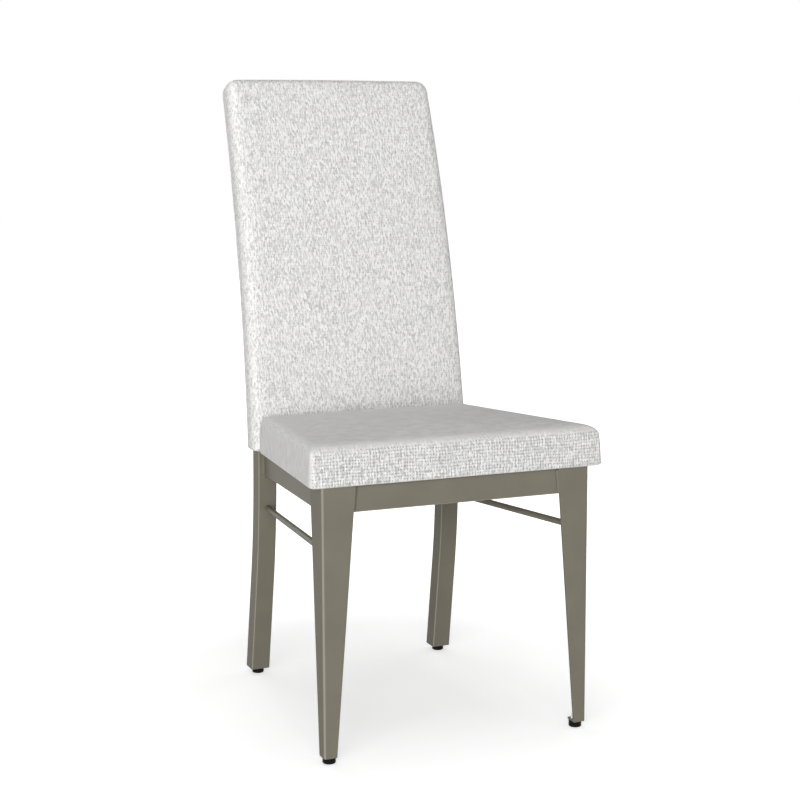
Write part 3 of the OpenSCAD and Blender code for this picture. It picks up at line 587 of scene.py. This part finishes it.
peel, peel_in, peel_out = new_group(
    "powder_coat_skin_and_corner_highlight", [("Grain", "Float", 900.0)], ["Mottle", "Peel", "Highlight"])
spot = object_spot(peel)
mottle = add(peel, "ShaderNodeTexNoise", {"Vector": spot, "Scale": MOTTLE_SCALE, "Detail": 4.0})
skin_grain = add(peel, "ShaderNodeTexNoise",
                 {"Vector": spot, "Scale": peel_in.outputs["Grain"], "Detail": 2.0})
faces = facing(peel)
# The rounded corners, found from the normal, are where the painted highlight goes.
squarest = maths(peel, "MAXIMUM", faces["X"], maths(peel, "MAXIMUM", faces["Y"], faces["Z"]))
corner = spread(peel, squarest, HIGHLIGHT_FROM, HIGHLIGHT_TO, 1.0, 0.0)
for label, value in (("Mottle", mottle.outputs["Fac"]), ("Peel", skin_grain.outputs["Fac"]),
                     ("Highlight", corner)):
    peel.links.new(value, peel_out.inputs[label])
print("powder coat group:", len(peel.nodes), "nodes")

# %% [markdown]
# Three finishes use the group. The thin rods get a paler paint, a painted highlight for the light they
# catch, and the weld beads have the ripple of the torch under their paint. Neither has folded corners, so
# neither gets the painted corner highlight.

# %% Painted steel
PAINT = (0.212, 0.198, 0.156, 1)
PAINT_DEEP = (0.192, 0.179, 0.141, 1)
# The rods' paler paint is a painted highlight.
ROD_HIGHLIGHT_PAINT = (0.245, 0.229, 0.181, 1)
PAINT_HIGHLIGHT = (0.32, 0.30, 0.245, 1)
MOTTLE_FROM, MOTTLE_TO = 0.3, 0.7
GLOSSY, SATIN = 0.30, 0.38
RIPPLE_SCALE, RIPPLE_DEPTH = 260.0, 6.0


def painted_steel(name, paint=PAINT, painted_highlight=True, rippled=False):
    """Powder coat; the rounded corners get a paler painted highlight unless that is switched off, and
    rippled is for weld beads.
    """
    finish, tree, shader = new_finish(name, specular_ior_level=0.015)
    coat = use_group(tree, peel)
    cloudy = spread(tree, coat.outputs["Mottle"], MOTTLE_FROM, MOTTLE_TO, 0.0, 1.0)
    colour = blend(tree, cloudy, PAINT_DEEP, paint)
    # Painted highlight: the rounded corners get the paler colour.
    if painted_highlight:
        colour = blend(tree, coat.outputs["Highlight"], colour, PAINT_HIGHLIGHT)
    tree.links.new(colour, shader.inputs["Base Color"])
    gloss = spread(tree, coat.outputs["Mottle"], MOTTLE_FROM, MOTTLE_TO, GLOSSY, SATIN)
    tree.links.new(gloss, shader.inputs["Roughness"])
    height = coat.outputs["Peel"]
    if rippled:
        ripple = add(tree, "ShaderNodeTexNoise",
                     {"Vector": object_spot(tree), "Scale": RIPPLE_SCALE, "Detail": 1.0})
        depth = maths(tree, "MULTIPLY", ripple.outputs["Fac"], RIPPLE_DEPTH)
        height = maths(tree, "ADD", depth, height)
    raise_surface(tree, shader, height, 0.05 * MM, 0.5)
    return finish


frame_paint = painted_steel("frame_powder_coat")
rod_highlight_paint = painted_steel("rod_powder_coat_painted_highlight", paint=ROD_HIGHLIGHT_PAINT, painted_highlight=False)
weld_paint = painted_steel("weld_powder_coat", painted_highlight=False, rippled=True)
print("paints:", frame_paint.name, rod_highlight_paint.name, weld_paint.name)

# %% [markdown]
# ## Zinc plate
# The screws, nuts, washers and glide stems are zinc plated: a bright metal with a cloudy crystal pattern.
# Cells and a soft noise together give the clouds, in the colour and in the gloss.

# %% Zinc plate
ZINC_DULL, ZINC_BRIGHT = (0.62, 0.63, 0.64, 1), (0.78, 0.79, 0.80, 1)
zinc_plate, tree, shader = new_finish("zinc_plate", metallic=1.0)
spot = object_spot(tree)
crystals = add(tree, "ShaderNodeTexVoronoi", {"Vector": spot, "Scale": 420.0})
cloud = add(tree, "ShaderNodeTexNoise", {"Vector": spot, "Scale": 150.0, "Detail": 3.0})
cloudy = maths(tree, "ADD", crystals.outputs["Distance"], cloud.outputs["Fac"])
cloudy = maths(tree, "MULTIPLY", cloudy, 0.6)
tree.links.new(blend(tree, cloudy, ZINC_DULL, ZINC_BRIGHT), shader.inputs["Base Color"])
tree.links.new(spread(tree, cloudy, 0.0, 1.0, 0.28, 0.46), shader.inputs["Roughness"])
raise_surface(tree, shader, cloud.outputs["Fac"], 0.04 * MM, 0.4)
print("finish", zinc_plate.name)

# %% [markdown]
# ## Plywood
# The seat board and the back board are raw plywood: long grain on the face, and thin plies at the edge. A
# wave along Z draws the plies, and the direction of the surface keeps them off the faces.

# %% Plywood
GRAIN_STRETCH = (220.0, 7.0, 12.0)
WOOD_DARK, WOOD_LIGHT = (0.30, 0.19, 0.10, 1), (0.62, 0.47, 0.30, 1)
GRAIN_SHARE, PLY_SHARE = 0.8, 0.35
plywood, tree, shader = new_finish("plywood_sheet", roughness=0.6, specular_ior_level=0.3)
spot = object_spot(tree)
grain_spot = add(tree, "ShaderNodeVectorMath", {0: spot, 1: GRAIN_STRETCH}, operation="MULTIPLY")
grain = add(tree, "ShaderNodeTexNoise",
            {"Vector": grain_spot.outputs[0], "Scale": 1.0, "Detail": 5.0, "Distortion": 0.8})
plies = add(tree, "ShaderNodeTexWave",
            {"Vector": spot, "Scale": 90.0, "Distortion": 0.6}, bands_direction="Z")
on_edge = spread(tree, facing(tree, "True Normal")["Z"], 0.3, 0.5, 1.0, 0.0)
edge_plies = maths(tree, "MULTIPLY", plies.outputs["Fac"], on_edge)
streaky = maths(tree, "ADD", maths(tree, "MULTIPLY", grain.outputs["Fac"], GRAIN_SHARE),
                maths(tree, "MULTIPLY", edge_plies, PLY_SHARE))
tree.links.new(blend(tree, streaky, WOOD_DARK, WOOD_LIGHT), shader.inputs["Base Color"])
raise_surface(tree, shader, grain.outputs["Fac"], 0.1 * MM, 0.4)
print("finish", plywood.name)

# %% [markdown]
# ## Dust cloth
# The underside of the seat is closed by a black felt of tangled fibres. A fine noise, twisted by its own
# distortion, looks like them.

# %% Dust cloth
FELT_DEEP, FELT_PALE = (0.006, 0.006, 0.007, 1), (0.03, 0.03, 0.032, 1)
dust_cloth, tree, shader = new_finish("dust_cloth_felt", roughness=0.95, specular_ior_level=0.2)
fibres = add(tree, "ShaderNodeTexNoise",
             {"Vector": object_spot(tree), "Scale": 900.0, "Detail": 3.0, "Distortion": 3.0})
tree.links.new(blend(tree, fibres.outputs["Fac"], FELT_DEEP, FELT_PALE), shader.inputs["Base Color"])
raise_surface(tree, shader, fibres.outputs["Fac"], 0.15 * MM, 0.7)
print("finish", dust_cloth.name)

# %% [markdown]
# ## Glide plastic
# The glides are hard black plastic, and the floor scuffs their lowest few millimetres. The scuffs are
# paler and duller, and only the height above the glide's own underside says where they may be.

# %% Glide plastic
SCUFF_HEIGHT = 4 * MM
BLACK, SCUFFED = (0.008, 0.008, 0.009, 1), (0.05, 0.05, 0.05, 1)
glide_plastic, tree, shader = new_finish("glide_plastic", specular_ior_level=0.06)
spot = object_spot(tree)
scuffs = add(tree, "ShaderNodeTexNoise", {"Vector": spot, "Scale": 500.0, "Detail": 4.0})
above = add(tree, "ShaderNodeSeparateXYZ", {"Vector": spot}).outputs["Z"]
worn = maths(tree, "MULTIPLY", spread(tree, above, 0.0, SCUFF_HEIGHT, 1.0, 0.0),
             spread(tree, scuffs.outputs["Fac"], 0.45, 0.7, 0.0, 1.0))
tree.links.new(blend(tree, worn, BLACK, SCUFFED), shader.inputs["Base Color"])
tree.links.new(spread(tree, worn, 0.0, 1.0, 0.28, 0.6), shader.inputs["Roughness"])
raise_surface(tree, shader, scuffs.outputs["Fac"], 0.05 * MM, 0.3)
print("finish", glide_plastic.name)

# %% [markdown]
# ## Foam
# The foam is hidden by its cover, but it is a piece of the chair all the same. Small cells give its open
# pores, pale in the middle of each cell.

# %% Foam
FOAM_DEEP, FOAM_PALE = (0.70, 0.62, 0.42, 1), (0.86, 0.80, 0.62, 1)
foam_block, tree, shader = new_finish("upholstery_foam", roughness=0.95, specular_ior_level=0.2)
pores = add(tree, "ShaderNodeTexVoronoi", {"Vector": object_spot(tree), "Scale": 900.0})
# Darker toward each cell's point: painted shade in the pores.
depth = pores.outputs["Distance"]
tree.links.new(blend(tree, depth, FOAM_DEEP, FOAM_PALE), shader.inputs["Base Color"])
raise_surface(tree, shader, depth, 0.3 * MM, 0.6)
print("finish", foam_block.name)

# %% [markdown]
# ## Finishes on the CAD pieces
# The record says what each piece is made of, so one table from that word to a finish dresses them all.
# The welds and the rods are the only ones that differ from their slot.

# %% Give each CAD node its finish
FINISH_OF_SLOT = {
    "frame_paint": frame_paint, "zinc_steel": zinc_plate, "plywood": plywood,
    "dust_cloth": dust_cloth, "glide_plastic": glide_plastic, "foam": foam_block,
    "cover_fabric": back_cloth,
}
FINISH_OF_NODE = {
    "frame_welds": weld_paint,
    "side_stretcher_left": rod_highlight_paint,
    "side_stretcher_right": rod_highlight_paint,
}
slot_of_node = {row["node"]: row["material_slot"] for row in frame["record"]["subparts"]}
for name, piece in nodes.items():
    finish = FINISH_OF_NODE.get(name, FINISH_OF_SLOT[slot_of_node[name]])
    if not piece.material_slots:
        piece.data.materials.append(finish)
    for row in piece.material_slots:
        row.material = finish
print("finished", len(nodes), "CAD nodes")

# %% [markdown]
# ## Soft forms
# Both pads are built the way the upholsterer sees them: a stack of outlines, each a little smaller or
# larger than the one below, skinned into one closed form. Their sizes follow the CAD solids, so the foam,
# the boards and the posts sit inside them.

# %% Outline helpers
def arc(centre, radius, start, stop, steps):
    """Points of an arc, angles in degrees."""
    turns = np.radians(np.linspace(start, stop, steps + 1))
    return [(centre[0] + radius * math.cos(t), centre[1] + radius * math.sin(t)) for t in turns]


def run(first, last, steps):
    """Points strictly between two points."""
    return [(first[0] + (last[0] - first[0]) * k / steps, first[1] + (last[1] - first[1]) * k / steps)
            for k in range(1, steps)]


def joined(corners, steps):
    """One closed outline of four corners and the straight sides between them."""
    outline = []
    for k, corner in enumerate(corners):
        outline += corner + run(corner[-1], corners[(k + 1) % 4][0], steps[k])
    return outline


def quarter(steps):
    """Angles from 0 to a quarter turn, in radians."""
    return np.radians(np.linspace(0, 90, steps + 1))


print("outline helpers ready")

# %% [markdown]
# The skin goes round each pair of neighbouring outlines with four-sided faces, and closes the stack with
# a fan at each end. All outlines have the same number of points, so the faces line up by themselves.

# %% Skin helper
def skin(name, rings):
    """Closed mesh over a stack of rings of equal length, ended by a point at each end."""
    rings = np.array(rings, float)
    rows, count = rings.shape[:2]
    points = [tuple(p) for ring in rings for p in ring]
    faces = []
    for k in range(rows - 1):
        for i in range(count):
            j = (i + 1) % count
            faces.append((k * count + i, k * count + j, (k + 1) * count + j, (k + 1) * count + i))
    for row, flip in ((0, True), (rows - 1, False)):
        points.append(tuple(rings[row].mean(0)))
        hub = len(points) - 1
        for i in range(count):
            a, b = row * count + i, row * count + (i + 1) % count
            faces.append((hub, b, a) if flip else (hub, a, b))
    mesh = bpy.data.meshes.new(name)
    mesh.from_pydata(points, [], faces)
    mesh.update()
    piece = bpy.data.objects.new(name, mesh)
    scene.collection.objects.link(piece)
    for face in mesh.polygons:
        face.use_smooth = True
    print(name, "has", len(points), "points")
    return piece


# %% [markdown]
# ## Seat cushion
# A firm pad on a plywood board, wider at the front, with upright sides that lean in slightly, a soft top
# edge and a low crown. All sizes are in millimetres, along the axes of the seat frame, which slopes down
# to the rear. From above, the outline is a four-sided form with small rounded corners.

# %% Seat cushion from above
PAD_FRONT_W, PAD_REAR_W = 475.6, 373.0
PAD_FRONT_Y, PAD_REAR_Y = -10.0, 380.9
PAD_CORNER_R = 9.0
PAD_CORNER_STEPS, PAD_SIDE_STEPS = 10, 40


def pad_outline(inset, front=0.0):
    """Outline from above, drawn in by inset all round and by front at the front."""
    half_rear = PAD_REAR_W / 2
    tilt = math.atan((PAD_FRONT_W / 2 - half_rear) / (PAD_REAR_Y - PAD_FRONT_Y))
    half_front = PAD_FRONT_W / 2 - front * math.tan(tilt)
    r = PAD_CORNER_R
    xf = half_front - (inset + r) * (1 + math.sin(tilt)) / math.cos(tilt)
    xr = half_rear - (inset + r) * (1 - math.sin(tilt)) / math.cos(tilt)
    low, high = PAD_FRONT_Y + front + inset + r, PAD_REAR_Y - inset - r
    lean = math.degrees(tilt)
    return joined([
        arc((xf, low), r, -90, lean, PAD_CORNER_STEPS),
        arc((xr, high), r, lean, 90, PAD_CORNER_STEPS),
        arc((-xr, high), r, 90, 180 - lean, PAD_CORNER_STEPS),
        arc((-xf, low), r, 180 - lean, 270, PAD_CORNER_STEPS),
    ], [PAD_SIDE_STEPS] * 4)


print("points in each outline of the seat:", len(pad_outline(0)))

# %% [markdown]
# The rings below the crown make the flat underside, the tight lower edge where the cloth is pulled round
# the board, the side, and the soft roll at the top, which is wider at the front.

# %% Seat cushion's sides
PAD_LOW_Z = 0.6
PAD_LOW_R = 4.0
PAD_SIDE_H = 47.0
PAD_SIDE_ROWS = 10
PAD_LEAN_IN = 1.6
PAD_EDGE_W, PAD_EDGE_H = 18.0, 16.0
PAD_FRONT_ROLL = 28.0
PAD_MIDDLE_Y = 186
EXTRA_ROLL = PAD_FRONT_ROLL - PAD_EDGE_W


def level(outline, z):
    """The outline at a height."""
    return [(x, y, z) for x, y in outline]


def underside_rings():
    rim = pad_outline(PAD_LOW_R)
    return [level([(x * share, (y - PAD_MIDDLE_Y) * share + PAD_MIDDLE_Y) for x, y in rim], PAD_LOW_Z)
            for share in (0.25, 0.5, 0.75, 0.9, 0.97)]


def side_rings():
    rings = [level(pad_outline(PAD_LOW_R * (1 - math.sin(turn))),
                   PAD_LOW_Z + PAD_LOW_R * (1 - math.cos(turn))) for turn in quarter(6)]
    low = PAD_LOW_Z + PAD_LOW_R
    for k in range(1, PAD_SIDE_ROWS):
        share = k / PAD_SIDE_ROWS
        z = low + (PAD_SIDE_H - low) * share
        rings.append(level(pad_outline(PAD_LEAN_IN * share ** 2), z))
    for turn in quarter(12):
        inset = PAD_LEAN_IN + PAD_EDGE_W * (1 - math.cos(turn))
        outline = pad_outline(inset, EXTRA_ROLL * (1 - math.cos(turn)))
        rings.append(level(outline, PAD_SIDE_H + PAD_EDGE_H * math.sin(turn)))
    return rings


print("rings in the seat's sides:", len(side_rings()))

# %% [markdown]
# Over the roll, the rim shrinks towards the middle of the seat, and each point rises by how far it lies
# from all four edges. That makes the low crown. Then the seat frame's slope is put on all the points, and
# they are moved from the front of the frame to the chair's own middle.

# %% Seat cushion's crown
SHIFT_Y = -285.824
SEAT_Z = 415.2
SEAT_FALL = math.radians(2.8)
PAD_CROWN = 11.0
CROWN_RINGS = 32


def crown_rings():
    rim = pad_outline(PAD_LEAN_IN + PAD_EDGE_W, EXTRA_ROLL)
    mid_y = (PAD_FRONT_Y + EXTRA_ROLL + PAD_REAR_Y) / 2
    half_y = (PAD_REAR_Y - PAD_FRONT_Y - EXTRA_ROLL) / 2 - PAD_LEAN_IN - PAD_EDGE_W
    half_x = (PAD_FRONT_W + PAD_REAR_W) / 4 - PAD_LEAN_IN - PAD_EDGE_W
    taper = (PAD_FRONT_W - PAD_REAR_W) / 4 / half_y
    rings = []
    for share in np.linspace(0.97, 0.03, CROWN_RINGS):
        ring = []
        for x, y in rim:
            x, dy = x * share, (y - mid_y) * share
            across = 1 - min((x / (half_x - taper * dy)) ** 2, 1)
            along = 1 - min((dy / half_y) ** 2, 1)
            ring.append((x, mid_y + dy, PAD_SIDE_H + PAD_EDGE_H + PAD_CROWN * across * along))
        rings.append(ring)
    return rings


def on_seat(point):
    """From the sloping seat frame's axes, in millimetres, to the chair's, in metres."""
    x, y, z = point
    c, s = math.cos(-SEAT_FALL), math.sin(-SEAT_FALL)
    return (x * MM, (y * c - z * s + SHIFT_Y) * MM, (y * s + z * c + SEAT_Z) * MM)


pad_rings = underside_rings() + side_rings() + crown_rings()
seat_cushion = skin("seat_cushion", [[on_seat(p) for p in ring] for ring in pad_rings])

# %% [markdown]
# ## Back pad
# A tall slab, curved like a barrel stave, that leans back and narrows towards the top. Its height runs
# along an arc with its centre far behind the chair, so places on it are given by an angle. The top edge
# sags a little towards its ends.

# %% Curve of the back
BACK_BOTTOM_W, BACK_TOP_W = 388.5, 367.5
BACK_LEAN = 6.7
BACK_TOP_A = 21.8444
BACK_BEND_R = 2400.0
BACK_CY, BACK_CZ = 2765.11, 118.49
BACK_TOP_DROP = 1.2
DEGREE = 180 / math.pi / BACK_BEND_R


def back_way(a):
    """0 at the bottom of the back and 1 at its top."""
    return (a - BACK_LEAN) / (BACK_TOP_A - BACK_LEAN)


def back_point(x, depth, a):
    """A point at the angle a of the front face's curve, depth behind that face."""
    way = back_way(a)
    b = math.radians(a - way * (2 * x / BACK_TOP_W) ** 2 * BACK_TOP_DROP * DEGREE)
    turn = math.radians(a * way)
    y = BACK_CY - BACK_BEND_R * math.cos(b) + depth * math.cos(turn) + SHIFT_Y
    z = BACK_CZ + BACK_BEND_R * math.sin(b) - depth * math.sin(turn)
    return (x * MM, y * MM, z * MM)


print("one millimetre of the back is", round(DEGREE, 4), "degrees")

# %% [markdown]
# Each level of the back is a bar with rounded edges whose front swells a little. Towards the top and the
# bottom the bars shrink by a quarter circle, which rounds those edges too. The lower one is tighter.

# %% Back pad
BACK_T = 54.0
BACK_EDGE_R = 21.0
BACK_LOW_R = 5.0
BACK_CROWN = 3.0
LEAST_R = 1.5
BACK_ROWS = 60
BACK_CORNER_STEPS = 8
BACK_SIDE_STEPS = (6, 36, 6, 36)


def back_ring(inset, radius, a):
    """One level of the back."""
    half = (BACK_BOTTOM_W + (BACK_TOP_W - BACK_BOTTOM_W) * back_way(a)) / 2 - inset
    near, far = inset + radius, BACK_T - inset - radius
    outline = joined([
        arc((half - radius, near), radius, -90, 0, BACK_CORNER_STEPS),
        arc((half - radius, far), radius, 0, 90, BACK_CORNER_STEPS),
        arc((radius - half, far), radius, 90, 180, BACK_CORNER_STEPS),
        arc((radius - half, near), radius, 180, 270, BACK_CORNER_STEPS),
    ], BACK_SIDE_STEPS)
    swell_here = BACK_CROWN * math.sin(math.pi * min(max(back_way(a), 0), 1))
    points = []
    for x, depth in outline:
        if depth < BACK_T / 2:
            depth -= swell_here * max(1 - (x / half) ** 2, 0)
        points.append(back_point(x, depth, a))
    return points


def back_rings():
    low_a = BACK_LEAN + BACK_LOW_R * DEGREE
    top_a = BACK_TOP_A - BACK_EDGE_R * DEGREE
    rows = [(BACK_LOW_R * (1 - math.sin(turn)), low_a - BACK_LOW_R * math.cos(turn) * DEGREE)
            for turn in quarter(5)]
    rows += [(0, low_a + (top_a - low_a) * k / BACK_ROWS) for k in range(1, BACK_ROWS)]
    rows += [(BACK_EDGE_R * (1 - math.cos(turn)), top_a + BACK_EDGE_R * math.sin(turn) * DEGREE)
             for turn in quarter(8)]
    return [back_ring(inset, max(BACK_EDGE_R - inset, LEAST_R), a) for inset, a in rows]


back_pad = skin("back_pad", back_rings())

# %% [markdown]
# ## Let the stuffing swell
# A stuffed pad stands a little fuller between its edges than at them. A cloth simulation gives that. It
# needs even faces, so it runs on a copy of each pad that is remeshed to small squares.

# %% Copy for the simulation
VOXEL = 6 * MM


def mesh_points(mesh):
    """All points of a mesh as rows of x, y and z."""
    flat = np.empty(len(mesh.vertices) * 3)
    mesh.vertices.foreach_get("co", flat)
    return flat.reshape(-1, 3)


def remeshed_copy(piece):
    """An evenly meshed copy that the cloth solver can handle."""
    copy = piece.copy()
    copy.data = piece.data.copy()
    scene.collection.objects.link(copy)
    even = copy.modifiers.new("even", "REMESH")
    even.mode = "VOXEL"
    even.voxel_size = VOXEL
    shape = copy.evaluated_get(bpy.context.evaluated_depsgraph_get())
    mesh = bpy.data.meshes.new_from_object(shape)
    copy.modifiers.clear()
    copy.data = mesh
    return copy


print("cloth squares of", VOXEL / MM, "mm")

# %% [markdown]
# The copy swells under a light pressure, while the lower edge, which is stapled to the board, is held
# still. Left alone it would grow into a pillow, so only its outward movement is kept, and firm foam caps
# that at a few millimetres.

# %% Swelling of the copy
SWELL_FRAMES = 20
SWELL_PRESSURE = 4.0
SWELL_RISE = 1.6


def swelling_of(copy, held, cap):
    """Where the copy's points start, and how each moves outwards, at most by cap."""
    start = mesh_points(copy.data)
    pins = copy.vertex_groups.new(name="held")
    pins.add([int(i) for i in np.nonzero(held(start))[0]], 1.0, "REPLACE")
    cloth = copy.modifiers.new("cloth", "CLOTH")
    cloth.settings.vertex_group_mass = "held"
    cloth.settings.use_pressure = True
    cloth.settings.uniform_pressure_force = SWELL_PRESSURE
    cloth.settings.effector_weights.gravity = 0.0
    cloth.point_cache.frame_start = 1
    cloth.point_cache.frame_end = SWELL_FRAMES
    for frame_number in range(1, SWELL_FRAMES + 1):
        scene.frame_set(frame_number)
    shape = copy.evaluated_get(bpy.context.evaluated_depsgraph_get())
    outwards = np.array([v.normal[:] for v in copy.data.vertices])
    swelling = np.maximum(((mesh_points(shape.data) - start) * outwards).sum(1), 0)
    moves = outwards * (cap * np.tanh(SWELL_RISE * swelling / swelling.max()))[:, None]
    return start, moves


print("pressure", SWELL_PRESSURE, "for", SWELL_FRAMES, "frames")

# %% [markdown]
# The pad itself starts slightly smaller. Each of its free points then takes over the movement of the
# copy's points nearest to it, weighted by how near they are.

# %% Swelling of the pads
NEIGHBOURS = 8
START_INSET = 0.3 * MM
SEAT_CAP, BACK_CAP = 2.0 * MM, 1.8 * MM
SEAT_HELD, BACK_HELD = 6, 8


def swell(piece, cap, held):
    """Lets a pad swell by at most cap; held(points) says which points stay put."""
    mesh = piece.data
    points = mesh_points(mesh)
    normals = np.array([v.normal[:] for v in mesh.vertices])
    free = ~held(points)
    points[free] -= normals[free] * START_INSET
    mesh.vertices.foreach_set("co", points.ravel())
    mesh.update()
    copy = remeshed_copy(piece)
    start, moves = swelling_of(copy, held, cap)
    tree = KDTree(len(start))
    for i, point in enumerate(start):
        tree.insert(point, i)
    tree.balance()
    for i in np.nonzero(free)[0]:
        near = tree.find_n(points[i], NEIGHBOURS)
        weight = np.array([1 / (row[2] + MM) for row in near])
        points[i] += (moves[[row[1] for row in near]] * weight[:, None]).sum(0) / weight.sum()
    mesh.vertices.foreach_set("co", points.ravel())
    mesh.update()
    scene.frame_set(1)
    bpy.data.objects.remove(copy)
    print(piece.name, "swelled with the help of", len(start), "cloth points")


def seat_edge_held(points):
    """The lower edge of the seat, stapled to the board, and all below."""
    y, z = points[:, 1] - SHIFT_Y * MM, points[:, 2] - SEAT_Z * MM
    return y * math.sin(SEAT_FALL) + z * math.cos(SEAT_FALL) < SEAT_HELD * MM


def back_edge_held(points):
    """The back's lower edge, stapled to the lower rail."""
    bottom = BACK_CZ + BACK_BEND_R * math.sin(math.radians(BACK_LEAN))
    return points[:, 2] < (bottom + BACK_HELD) * MM


swell(seat_cushion, SEAT_CAP, seat_edge_held)
swell(back_pad, BACK_CAP, back_edge_held)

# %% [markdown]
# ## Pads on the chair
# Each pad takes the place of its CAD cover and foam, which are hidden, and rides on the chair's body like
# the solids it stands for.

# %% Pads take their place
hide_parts("seat_cover", "seat_foam")
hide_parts("back_cover", "back_foam")
for pad, cloth in ((seat_cushion, seat_cloth), (back_pad, back_cloth)):
    pad.data.materials.append(cloth)
    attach(pad, "chair")
print("pads on the chair: seat_cushion and back_pad")
